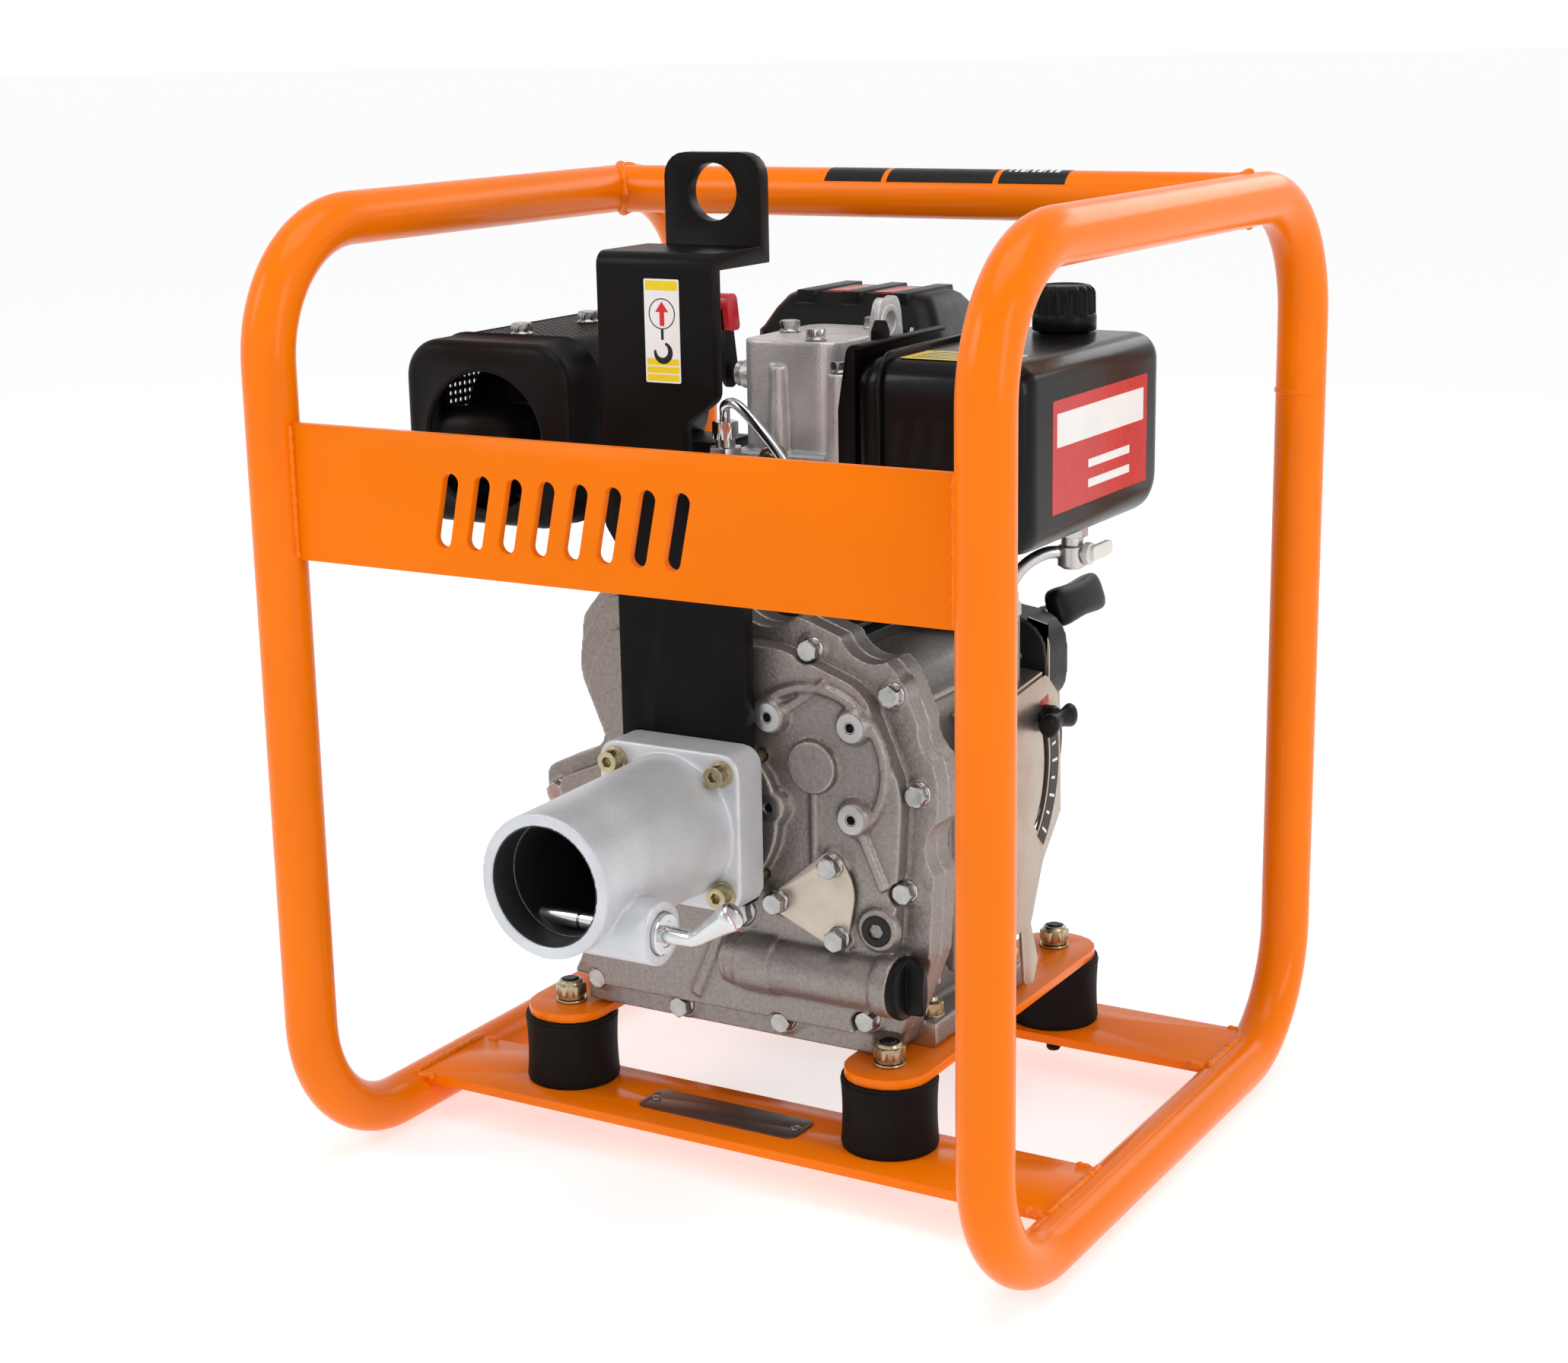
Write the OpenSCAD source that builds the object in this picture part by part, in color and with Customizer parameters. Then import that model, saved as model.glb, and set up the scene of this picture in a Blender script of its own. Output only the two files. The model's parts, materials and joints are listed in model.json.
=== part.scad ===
// Flexible-shaft drive unit: small air-cooled diesel engine on rubber mounts in a tubular roll frame.
// Millimetres, +Z up, front (drive side) towards -Y. Every Y below is measured from the frame's middle;
// place() then moves it back so that the origin is the middle of the whole unit's footprint.

/* [Frame] */
// Outside width of the roll frame
frame_w = 496; // [480:1:520]
// Outside length of the roll frame
frame_l = 496; // [480:1:520]
// Height over the top tubes
frame_h = 600; // [590:1:620]
// Outside diameter of the frame tube
tube_d = 32; // [30:0.5:34]
// Wall of the frame tube
tube_wall = 2.6; // [2:0.1:3.5]
// Centreline radius of the four bends of each hoop
bend_r = 80; // [70:1:90]
// Distance of the rear cross tube behind the middle of the frame
cross_tube_y = 139; // [130:1:150]
// Height of the lower edge of the front panel
panel_z = 391; // [385:1:396]
// Height of the front panel itself
panel_h = 81; // [78:1:84]
// Thickness of the front panel
panel_t = 5; // [4:0.5:6]
// Width of a flat base bar
bar_w = 70; // [66:1:72]
// Thickness of a flat base bar
bar_t = 6; // [5:0.5:7]

/* [Rubber mounts] */
// Diameter of a rubber mount
mount_d = 60; // [56:1:62]
// Height of a rubber mount
mount_h = 45; // [44:1:46]
// Sideways distance between mounts
mount_pitch_x = 233; // [231:1:235]
// Fore and aft distance between mounts
mount_pitch_y = 238; // [236:1:240]
// Thickness of an engine rail
rail_t = 6; // [6:0.5:7]

/* [Engine] */
// Sideways place of the crankshaft axis
crank_x = -17; // [-18:0.5:-16]
// Height of the crankshaft axis above the floor
crank_z = 231; // [230:0.5:232]
// Half of the piston stroke
throw = 28; // [27:0.5:29]
// Piston diameter
piston_d = 69.6; // [69:0.1:69.8]
// Teeth on the crankshaft gear (the camshaft gear has twice as many)
crank_teeth = 24; // [24]
// Gear module
gear_mod = 2.27; // [2.25:0.01:2.27]

/* [Coupling] */
// How far the coupling tube stands out in front of the frame
overhang = 30; // [25:1:35]
// Length of the coupling tube ahead of its flange
coupling_l = 129; // [126:1:131]
// Bore of the coupling tube
coupling_bore = 68; // [66:0.5:69]
// Bore of the register at the tube's mouth
register_bore = 70; // [69.5:0.5:71]
// Side of the square flange
flange_w = 97; // [95:1:98]

/* [Hidden] */
$fn = 48;
tube_r = tube_d / 2;
hoop_x = frame_w / 2 - tube_r;
hoop_y = frame_l / 2 - tube_r;
z_low = tube_r;
z_high = frame_h - tube_r;
shift_y = overhang / 2;

bar_top = tube_d - 1;
front_mount_y = -93;
rear_mount_y = front_mount_y + mount_pitch_y;
left_mount_x = crank_x + 0.5 - mount_pitch_x / 2;
right_mount_x = left_mount_x + mount_pitch_x;
MOUNTS = [for (x = [left_mount_x, right_mount_x], y = [front_mount_y, rear_mount_y]) [x, y]];
rail_z = bar_top + mount_h;
foot_z = rail_z + rail_t;
stud_r = 5;
front_bar_y = [-138, -138 + bar_w];
rear_bar_y = [rear_mount_y - 35, rear_mount_y - 35 + bar_w];

ring_y = -frame_l / 2 - overhang;
flange_y = ring_y + coupling_l;
flange_t = 28;
bracket_y = flange_y + flange_t;
bracket_t = 10;
pad_y = bracket_y + bracket_t;
cover_y = pad_y + 8;
joint_y = -76;
lug_y = joint_y - 14;
SCREWS = [for (sx = [-1, 1], sz = [-1, 1]) [crank_x + 37 * sx, crank_z + 37 * sz]];

// Bolts round the gear cover, and the screw bosses on its face, as [x, z]
COVER_BOLTS = [[50, 334], [104, 312], [121, 254], [112, 193], [86, 108], [27, 97], [-47, 94],
               [-108, 103], [-132, 160], [-135, 223], [-66, 338], [-20, 340]];
cam_centre = [57, 266];
FACE_BOSSES = [for (sx = [-1, 1], sz = [-1, 1]) [cam_centre.x + 28 * sx, cam_centre.y + 28 * sz]];
PLATE_BOLTS = [[70, 207], [32, 179], [74, 162]];

cyl_y0 = 15;
case_rear = 72;
block_top = 316;
barrel_top = 386;
head_top = 429;
cover_top = 505;

filler_y = -102;
filler_z = 136;
filler_end = 112;
filler_r = 17;

gear_y0 = lug_y + 2;
gear_y1 = gear_y0 + 9;
cam_gear_r = gear_mod * (crank_teeth + 0.85);

FEET = [[104, -45], [104, 62], [-133, -45], [-133, 62]];

muffler_x = [-215, -95];
muffler_z = [398, 510];
muffler_front = -130;
muffler_rear = 62;
muffler_c = [(muffler_x[0] + muffler_x[1]) / 2, (muffler_z[0] + muffler_z[1]) / 2];
GUARD_BOLTS = [[-157, -84], [-157, -12]];
cap_depth = 36;

tank_x = [58, 172];
tank_y = [-57, 146];
tank_z = [390, 502];
cap_c = [116, 118];

reel_y = 148;
rope_path_r = 42;
reel_r = rope_path_r + 3.6;
pull_tilt = 20;
// Height of the rope's straight line at the place x
function rope_z(x) = crank_z + rope_path_r / cos(pull_tilt) + (x - crank_x) * tan(pull_tilt);
grip_c = [112, reel_y, rope_z(112)];

panel_x = 127;
lever_pivot = [5, 236];
lever_r = 62;

// ---- helpers -------------------------------------------------------------------------------

module place() translate([0, shift_y, 0]) children();

module cyl_x(y, z, x0, x1, r) translate([x0, y, z]) rotate([0, 90, 0]) cylinder(h = x1 - x0, r = r);
module cyl_z(x, y, z0, z1, r) translate([x, y, z0]) cylinder(h = z1 - z0, r = r);
module cyl_y(x, z, y0, y1, r, r2 = -1)
    translate([x, y0, z]) rotate([-90, 0, 0]) cylinder(h = y1 - y0, r1 = r, r2 = r2 < 0 ? r : r2);
module hex_y(x, z, y0, y1, af)
    translate([x, y0, z]) rotate([-90, 0, 0]) cylinder(h = y1 - y0, r = af / 2 / cos(30), $fn = 6);
module hex_z(x, y, z0, z1, af)
    translate([x, y, z0]) cylinder(h = z1 - z0, r = af / 2 / cos(30), $fn = 6);
module block(x, y, z) translate([x[0], y[0], z[0]]) cube([x[1] - x[0], y[1] - y[0], z[1] - z[0]]);

// Outline in X and Z, extruded along Y; outline in Y and Z, extruded along X
module slab_y(points, y0, y1)
    translate([0, y1, 0]) rotate([90, 0, 0]) linear_extrude(y1 - y0) polygon(points);
module slab_x(points, x0, x1)
    translate([x0, 0, 0]) rotate([90, 0, 90]) linear_extrude(x1 - x0) polygon(points);
module slab_z(points, z0, z1) translate([0, 0, z0]) linear_extrude(z1 - z0) polygon(points);

// Rounds one corner b between a and c with radius r
function unit(v) = v / norm(v);
function corner(a, b, c, r, n) =
    let (u = unit(a - b), v = unit(c - b), half = acos(max(-1, min(1, u * v))) / 2,
         m = b + unit(u + v) * r / sin(half), e0 = unit(b + u * r / tan(half) - m),
         e1 = unit(b + v * r / tan(half) - m), turn = 180 - 2 * half)
    [for (i = [0:n]) m + r * (sin(turn * (1 - i / n)) * e0 + sin(turn * i / n) * e1) / sin(turn)];
// Closed outline from [x, y, radius] corners
function rounded(p, n = 5) =
    [for (i = [0:len(p) - 1])
        let (a = p[(i + len(p) - 1) % len(p)], b = p[i], c = p[(i + 1) % len(p)])
        each (b[2] == 0 ? [[b[0], b[1]]]
                        : corner([a[0], a[1]], [b[0], b[1]], [c[0], c[1]], b[2], n))];
function box_outline(x, y, r) =
    rounded([[x[0], y[0], r], [x[1], y[0], r], [x[1], y[1], r], [x[0], y[1], r]]);
// Outline drawn in towards a centre by the factor k
function shrink(p, c, k) = [for (q = p) [c.x + (q.x - c.x) * k, c.y + (q.y - c.y) * k, q[2] * k]];

// Spur gear outline with tapered teeth, thinned so that a pair runs with backlash
function gear_outline(n, m, phase) =
    let (r = n * m / 2, step = 360 / n)
    [for (i = [0:n - 1], s = [[-0.33, -1.15], [-0.13, 0.85], [0.13, 0.85], [0.33, -1.15]])
        let (a = phase + (i + s[0]) * step, q = r + s[1] * m) [q * cos(a), q * sin(a)]];

// ---- frame ---------------------------------------------------------------------------------

module bend_tube(r, y, z, start)
    translate([0, y, z]) rotate([90, 0, 90]) rotate([0, 0, start])
        rotate_extrude(angle = 90) translate([bend_r, 0]) circle(r);

module hoop_solid(r) {
    dy = hoop_y - bend_r;
    z0 = z_low + bend_r;
    z1 = z_high - bend_r;
    for (z = [z_low, z_high]) cyl_y(0, z, -dy, dy, r);
    for (y = [-hoop_y, hoop_y]) cyl_z(0, y, z0, z1, r);
    bend_tube(r, dy, z1, 0);
    bend_tube(r, -dy, z1, 90);
    bend_tube(r, -dy, z0, 180);
    bend_tube(r, dy, z0, 270);
}
module hoop(side) color("darkorange") place() translate([side * hoop_x, 0, 0])
    difference() { hoop_solid(tube_r); hoop_solid(tube_r - tube_wall); }
module cope() for (s = [-1, 1]) translate([s * hoop_x, 0, 0]) hoop_solid(tube_r);

module left_hoop() hoop(-1);
module right_hoop() hoop(1);

module rear_cross_tube() color("darkorange") place() difference() {
    cyl_x(cross_tube_y, z_high, -hoop_x, hoop_x, tube_r);
    cyl_x(cross_tube_y, z_high, -hoop_x, hoop_x, tube_r - tube_wall);
    cope();
}

// Slanted slots cut through the panel
slot_n = 8;
slot_pitch = 22;
slot_r = 5.5;
slot_len = 44;
module slot(x, z) translate([x, 0, z]) rotate([0, 12, 0]) {
    for (s = [-1, 1]) cyl_y(0, s * (slot_len / 2 - slot_r), -hoop_y - 8, -hoop_y + 8, slot_r);
    block([-slot_r, slot_r], [-hoop_y - 8, -hoop_y + 8], [slot_r - slot_len / 2, slot_len / 2 - slot_r]);
}
module front_panel() color("darkorange") place() difference() {
    block([4 - hoop_x, hoop_x - 4], [-hoop_y - panel_t / 2, -hoop_y + panel_t / 2],
          [panel_z, panel_z + panel_h]);
    for (i = [0:slot_n - 1]) slot(-28 + (i - (slot_n - 1) / 2) * slot_pitch, panel_z + panel_h / 2 - 3);
    cope();
}

module base_bar(y) difference() {
    block([6 - hoop_x, hoop_x - 6], y, [bar_top - bar_t, bar_top]);
    cope();
    for (m = MOUNTS) cyl_z(m.x, m.y, 0, bar_top + 1, stud_r + 0.4);
}
RIVETS = [[-62, -104], [40, -104]];
module front_base_bar() color("darkorange") place() difference() {
    base_bar(front_bar_y);
    for (p = RIVETS) cyl_z(p.x, p.y, 0, bar_top + 1, 1.6);
}
module rear_base_bar() color("darkorange") place() base_bar(rear_bar_y);

module id_plate() color("silver") place() difference() {
    slab_z(box_outline([-68, 46], [-119, -89], 6), bar_top, bar_top + 1);
    for (p = RIVETS) cyl_z(p.x, p.y, 0, bar_top + 2, 1.6);
}
module id_plate_rivets() color("gainsboro") place() for (p = RIVETS) {
    cyl_z(p.x, p.y, bar_top - bar_t - 1, bar_top + 1, 1.55);
    cyl_z(p.x, p.y, bar_top + 1, bar_top + 2, 3);
}

// ---- rubber mounts and rails ----------------------------------------------------------------

module rubber_mount(i) color([0.08, 0.08, 0.08]) place() difference() {
    cyl_z(MOUNTS[i].x, MOUNTS[i].y, bar_top, rail_z, mount_d / 2);
    cyl_z(MOUNTS[i].x, MOUNTS[i].y, bar_top - 1, bar_top + 12, stud_r + 0.05);
    cyl_z(MOUNTS[i].x, MOUNTS[i].y, rail_z - 12, rail_z + 1, stud_r + 0.05);
}
module front_left_rubber_mount() rubber_mount(0);
module rear_left_rubber_mount() rubber_mount(1);
module front_right_rubber_mount() rubber_mount(2);
module rear_right_rubber_mount() rubber_mount(3);

washer_t = 2;
spring_t = 2.5;
nut_h = 10;
stud_top = foot_z + washer_t + spring_t + nut_h + 1;
module mount_studs() color("dimgray") place() for (m = MOUNTS) {
    cyl_z(m.x, m.y, bar_top - 18, bar_top + 11.9, stud_r);
    cyl_z(m.x, m.y, rail_z - 11.9, stud_top, stud_r);
}
module ring_z(x, y, z0, z1, r, hole) difference() {
    cyl_z(x, y, z0, z1, r);
    cyl_z(x, y, z0 - 1, z1 + 1, hole);
}
module mount_washers() color("goldenrod") place() for (m = MOUNTS) {
    ring_z(m.x, m.y, foot_z, foot_z + washer_t, 10, stud_r + 0.3);
    ring_z(m.x, m.y, foot_z + washer_t, foot_z + washer_t + spring_t, 8.6, stud_r + 0.3);
}
module mount_nuts() color("goldenrod") place() for (m = MOUNTS) {
    z0 = foot_z + washer_t + spring_t;
    difference() {
        union() {
            hex_z(m.x, m.y, z0, z0 + 7.5, 17);
            cyl_z(m.x, m.y, z0 + 7.5, z0 + nut_h, 7.6);
        }
        cyl_z(m.x, m.y, z0 - 1, z0 + nut_h + 1, stud_r + 0.05);
    }
}

// Half-width of a rail at its mounts, and how far it reaches in under the engine's feet
rail_r = 27;
rail_in = 34;
function rail_outline(s) =
    let (x = s < 0 ? left_mount_x : right_mount_x, o = x + s * rail_r, i = x - s * rail_in)
    rounded([[o, front_mount_y - rail_r, rail_r - 1], [x - s * rail_r, front_mount_y - rail_r, rail_r - 2],
             [x - s * rail_r, front_mount_y + 22, 14], [i, front_mount_y + 45, 14],
             [i, rear_mount_y - 45, 14], [x - s * rail_r, rear_mount_y - 22, 14],
             [x - s * rail_r, rear_mount_y + rail_r, rail_r - 2], [o, rear_mount_y + rail_r, rail_r - 1]]);
module engine_rail(s) color("darkorange") place() difference() {
    slab_z(rail_outline(s), rail_z, foot_z);
    for (m = MOUNTS) cyl_z(m.x, m.y, rail_z - 1, foot_z + 1, stud_r + 0.4);
    for (p = FEET) cyl_z(p.x, p.y, rail_z - 1, foot_z + 1, 4.3);
}
module left_engine_rail() engine_rail(-1);
module right_engine_rail() engine_rail(1);

foot_t = 16;
module foot_bolts() color("goldenrod") place() for (p = FEET) {
    cyl_z(p.x, p.y, rail_z - 10, foot_z + foot_t + 12, 4);
    ring_z(p.x, p.y, foot_z + foot_t, foot_z + foot_t + 1.6, 8, 4.05);
    difference() {
        hex_z(p.x, p.y, foot_z + foot_t + 1.6, foot_z + foot_t + 9, 13);
        cyl_z(p.x, p.y, foot_z, foot_z + 50, 4);
    }
    difference() {
        hex_z(p.x, p.y, rail_z - 6.5, rail_z, 13);
        cyl_z(p.x, p.y, rail_z - 20, rail_z + 1, 4);
    }
}

// ---- lifting bracket -------------------------------------------------------------------------

eye_c = [-29, 597];
eye_y = -65;
shelf_z = 556;
BRACKET = [[-75, shelf_z, 0], [4, shelf_z, 0], [4, 482, 9], [-18, 466, 9], [-18, 402, 9], [21, 380, 9],
           [21, 178, 3], [-67, 178, 3], [-67, 392, 12], [-75, 404, 12]];
EYE = [[-62, shelf_z, 0], [4, shelf_z, 0], [4, 620, 14], [-62, 620, 14]];
bend_ro = 16;
module lifting_bracket() color([0.1, 0.1, 0.1]) place() difference() {
    union() {
        slab_y(rounded(BRACKET), bracket_y, pad_y);
        slab_x(rounded([[bracket_y, shelf_z, 0], [bracket_y, shelf_z + bracket_t, bend_ro - 8],
                        [eye_y, shelf_z + bracket_t, 0], [eye_y, shelf_z, 0]]), -75, 4);
        block([-75, 4], [bracket_y, pad_y], [shelf_z - 1, shelf_z + 1]);
        slab_y(rounded(EYE), eye_y, eye_y + bracket_t);
    }
    cyl_y(eye_c.x, eye_c.y, eye_y - 1, eye_y + bracket_t + 1, 17);
    cyl_y(crank_x, crank_z, bracket_y - 1, pad_y + 1, 35);
    for (p = SCREWS) cyl_y(p.x, p.y, bracket_y - 1, pad_y + 1, 4.4);
}

// ---- coupling --------------------------------------------------------------------------------

lock_y = ring_y + 30;
lock_z = crank_z - 27;
lock_x = 41;
module coupling_housing() color("silver") place() difference() {
    union() {
        cyl_y(crank_x, crank_z, ring_y, flange_y + 1, 42, 44);
        slab_y(box_outline([crank_x - flange_w / 2, crank_x + flange_w / 2],
                           [crank_z - flange_w / 2, crank_z + flange_w / 2], 12),
               flange_y, bracket_y);
        cyl_x(lock_y, lock_z, crank_x, lock_x, 18.5);
    }
    cyl_y(crank_x, crank_z, ring_y - 1, bracket_y + 1, coupling_bore / 2);
    cyl_y(crank_x, crank_z, ring_y - 1, ring_y + 20, register_bore / 2);
    cyl_x(lock_y, lock_z, crank_x - 24, lock_x + 1, 6.1);
    cyl_x(lock_y, lock_z, lock_x - 4, lock_x + 1, 12.2);
    for (p = SCREWS) cyl_y(p.x, p.y, flange_y - 1, bracket_y + 1, 4.4);
}
module coupling_screws() color("goldenrod") place() for (p = SCREWS) {
    cyl_y(p.x, p.y, flange_y - 1.6, pad_y + 14, 4);
    difference() {
        cyl_y(p.x, p.y, flange_y - 1.6, flange_y, 8);
        cyl_y(p.x, p.y, flange_y - 2, flange_y + 1, 3.9);
    }
    difference() {
        cyl_y(p.x, p.y, flange_y - 9.6, flange_y - 1.6, 6.5);
        hex_y(p.x, p.y, flange_y - 10, flange_y - 5, 6);
    }
}
// Cross pin with an eccentric flat, hub and cranked handle
module lock_lever() color("gainsboro") place() {
    difference() {
        cyl_x(lock_y, lock_z, crank_x - 22, lock_x - 3, 6);
        block([crank_x - 16, crank_x + 16], [lock_y - 8, lock_y + 8], [lock_z - 8, lock_z - 2]);
    }
    cyl_x(lock_y, lock_z, lock_x - 3.5, lock_x + 3, 12);
    cyl_x(lock_y, lock_z, lock_x + 2, lock_x + 21, 5);
    translate([lock_x + 21, lock_y, lock_z]) {
        sphere(5);
        rotate([0, 55, 0]) cylinder(h = 26, r1 = 5, r2 = 8.5);
        rotate([0, 55, 0]) translate([0, 0, 26]) sphere(8.5);
    }
}
dog_front = flange_y - 40;
module drive_dog() color("dimgray") place() difference() {
    union() {
        cyl_y(crank_x, crank_z, dog_front, flange_y + 20, 22);
        cyl_y(crank_x, crank_z, flange_y + 8, flange_y + 20, 27);
    }
    cyl_y(crank_x, crank_z, dog_front + 22, flange_y + 21, 12.55);
    block([crank_x - 30, crank_x + 30], [dog_front - 1, dog_front + 14], [crank_z - 6, crank_z + 6]);
    cyl_y(crank_x, crank_z, dog_front - 1, dog_front + 14, 10);
}

// ---- crankcase and gear cover -----------------------------------------------------------------

CASE = [[-122, foot_z + 2, 10], [100, foot_z + 2, 10], [126, 150, 26], [133, 262, 60], [104, 330, 34],
        [40, 352, 40], [-60, 354, 30], [-98, 353, 16], [-122, 312, 30], [-97, 258, 14], [-147, 237, 10],
        [-147, 206, 12], [-138, 118, 24]];
DOME = shrink(CASE, [-9, 216], 0.87);
crank_c = [crank_x, crank_z];

module cover_bolt_holes(y0, y1, r = 3.1) for (p = COVER_BOLTS) cyl_y(p.x, p.y, y0, y1, r);

module crankcase() color([0.55, 0.54, 0.52]) place() difference() {
    union() {
        slab_y(rounded(CASE), joint_y, joint_y + 16);
        slab_y(rounded([[-112, foot_z + 4, 8], [92, foot_z + 4, 8], [108, 150, 20], [108, 300, 20],
                        [88, block_top, 16], [-106, block_top, 16], [-116, 300, 20], [-116, 150, 20]]),
               joint_y + 15, case_rear);
        for (x = [[-144, -100], [80, 114]])
            block(x, [-58, case_rear + 2], [foot_z, foot_z + foot_t]);
        cyl_z(112, 40, 280, tank_z[0] - 56, 10);
    }
    cyl_y(crank_x, crank_z, joint_y - 1, case_rear - 14, 66);
    cyl_y(cam_centre.x, cam_centre.y, joint_y - 1, -30, 24);
    cyl_y(crank_x, crank_z, case_rear - 15, case_rear + 3, 17.05);
    cyl_y(cam_centre.x, cam_centre.y, -31, -20, 8.05);
    cyl_z(crank_x, cyl_y0, 240, block_top + 40, 42.1);
    block([-90, 70], [joint_y - 1, case_rear - 14], [foot_z + 12, 190]);
    cover_bolt_holes(joint_y - 1, joint_y + 12);
    for (p = FEET) cyl_z(p.x, p.y, foot_z - 1, foot_z + foot_t + 1, 4.3);
}

module gear_cover() color([0.6, 0.59, 0.57]) place() difference() {
    union() {
        slab_y(rounded(CASE), lug_y, joint_y);
        slab_y(rounded(DOME), cover_y, lug_y + 1);
        cyl_y(crank_x, crank_z, pad_y, cover_y + 1, 52);
        cyl_y(cam_centre.x, cam_centre.y, pad_y + 2, cover_y + 1, 16);
        for (p = FACE_BOSSES) cyl_y(p.x, p.y, pad_y, cover_y + 1, 9.5);
        for (p = PLATE_BOLTS) cyl_y(p.x, p.y, cover_y - 2, cover_y + 1, 9);
        cyl_x(filler_y, filler_z, 0, filler_end, filler_r);
    }
    // gear space, with walls left at the front and round the edge
    difference() {
        slab_y(rounded(shrink(CASE, [-9, 216], 0.8)), cover_y + 6, joint_y + 1);
        for (p = FACE_BOSSES) cyl_y(p.x, p.y, cover_y + 5, cover_y + 9, 9.5);
        cyl_x(filler_y, filler_z, -1, filler_end, filler_r);
        cyl_y(crank_x, crank_z, cover_y + 5, cover_y + 9, 52);
    }
    cyl_x(filler_y, filler_z, 20, filler_end + 1, 11);
    cyl_y(crank_x, crank_z, pad_y - 1, joint_y, 12.6);
    cyl_y(cam_centre.x, cam_centre.y, cover_y - 2, cover_y + 7, 8.05);
    cover_bolt_holes(cover_y - 2, joint_y + 1);
    cover_bolt_holes(cover_y - 2, lug_y, 7.5);
    cyl_y(cam_centre.x, cam_centre.y, lug_y + 0.5, joint_y + 1, cam_gear_r + 1.5);
    for (p = SCREWS) cyl_y(p.x, p.y, pad_y - 1, cover_y + 9, 4.1);
    // the filler cap's seat, cut into the joint flange
    cyl_x(filler_y, filler_z, filler_end, filler_end + 30, 20);
    // room for the front mounts' nuts and a spanner
    for (m = MOUNTS) cyl_z(m.x, m.y, foot_z - 1, stud_top + 3, 13);
    for (p = FACE_BOSSES) cyl_y(p.x, p.y, pad_y - 1, cover_y + 7, 3.4);
    for (p = PLATE_BOLTS) cyl_y(p.x, p.y, cover_y - 3, cover_y + 5, 3.1);
    cyl_y(100, 171, cover_y - 2, cover_y + 5, 6.05);
    cyl_y(4, 168, cover_y - 2, cover_y + 5, 5.05);
}

module hex_bolt_y(x, z, y, len, r, af) {
    cyl_y(x, z, y, y + len, r);
    cyl_y(x, z, y - 1.5, y, af * 0.62);
    hex_y(x, z, y - 7, y - 1.5, af);
}
module hex_bolt_z(x, y, z, len, r, af) {
    cyl_z(x, y, z - len, z, r);
    cyl_z(x, y, z, z + 1.5, af * 0.62);
    hex_z(x, y, z + 1.5, z + 6.5, af);
}
ROCKER_BOLTS = [[8, -8], [-30, 26], [10, 62], [33, -22]];
module engine_bolts() color("gainsboro") place() {
    for (p = COVER_BOLTS) hex_bolt_y(p.x, p.y, lug_y, 22, 3, 10);
    for (p = PLATE_BOLTS) hex_bolt_y(p.x, p.y, cover_y - 4, 8, 3, 10);
    hex_bolt_y(4, 168, cover_y, 4, 5, 17);
    for (p = ROCKER_BOLTS) hex_bolt_z(p.x, p.y, p.x > 20 ? 488 : cover_top, 30, 3, 10);
    for (p = GUARD_BOLTS) hex_bolt_z(p.x, p.y, muffler_z[1], 8, 3, 10);
}
module cover_plate() color("lightgray") place() difference() {
    slab_y(rounded([[72, 220, 9], [20, 177, 9], [78, 151, 9], [86, 194, 30]]), cover_y - 4, cover_y - 2);
    for (p = PLATE_BOLTS) cyl_y(p.x, p.y, cover_y - 5, cover_y - 1, 3.2);
}
module oil_filler_cap() color([0.1, 0.1, 0.1]) place() {
    cyl_x(filler_y, filler_z, filler_end - 14, filler_end + 0.2, 10.9);
    cyl_x(filler_y, filler_z, filler_end + 0.2, filler_end + 7, 19);
    slab_z(box_outline([filler_end + 6, filler_end + 17], [filler_y - 16, filler_y + 16], 4),
           filler_z - 4, filler_z + 4);
    cyl_x(filler_y, filler_z, filler_end - 60, filler_end - 13, 2.5);
}
module sump_plug() color("dimgray") place() difference() {
    union() {
        cyl_y(100, 171, cover_y - 3, cover_y + 5, 6);
        cyl_y(100, 171, cover_y - 3, cover_y, 10);
    }
    hex_y(100, 171, cover_y - 4, cover_y + 1, 8);
}

// ---- moving inner parts -----------------------------------------------------------------------

module turned_gear(n, phase, c, y0, y1)
    slab_y([for (q = gear_outline(n, gear_mod, phase)) [c.x + q.x, c.y + q.y]], y0, y1);
web_r = 58;
module crank_web(y0, y1) intersection() {
    cyl_y(crank_x, crank_z, y0, y1, web_r);
    union() {
        block([crank_x - 60, crank_x + 60], [y0, y1], [crank_z - 60, crank_z - 6]);
        block([crank_x - 23, crank_x + 23], [y0, y1], [crank_z - 10, crank_z + throw + 20]);
    }
}
line_angle = atan2(cam_centre.y - crank_z, cam_centre.x - crank_x);
module crankshaft() color("lightgray") place() difference() {
    union() {
        cyl_y(crank_x, crank_z, flange_y - 15, -20, 12.5);
        turned_gear(crank_teeth, line_angle, crank_c, gear_y0, gear_y1);
        crank_web(-20, -6);
        cyl_y(crank_x, crank_z + throw, -6.5, 36.5, 18);
        crank_web(36, 50);
        cyl_y(crank_x, crank_z, 50, case_rear + 8, 17);
        cyl_y(crank_x, crank_z, case_rear + 7, 126, 12.5);
        cyl_y(crank_x, crank_z, 125, 132, 7);
    }
    block([crank_x - 3, crank_x + 3], [flange_y - 16, flange_y + 20], [crank_z + 9.5, crank_z + 14]);
}
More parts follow.
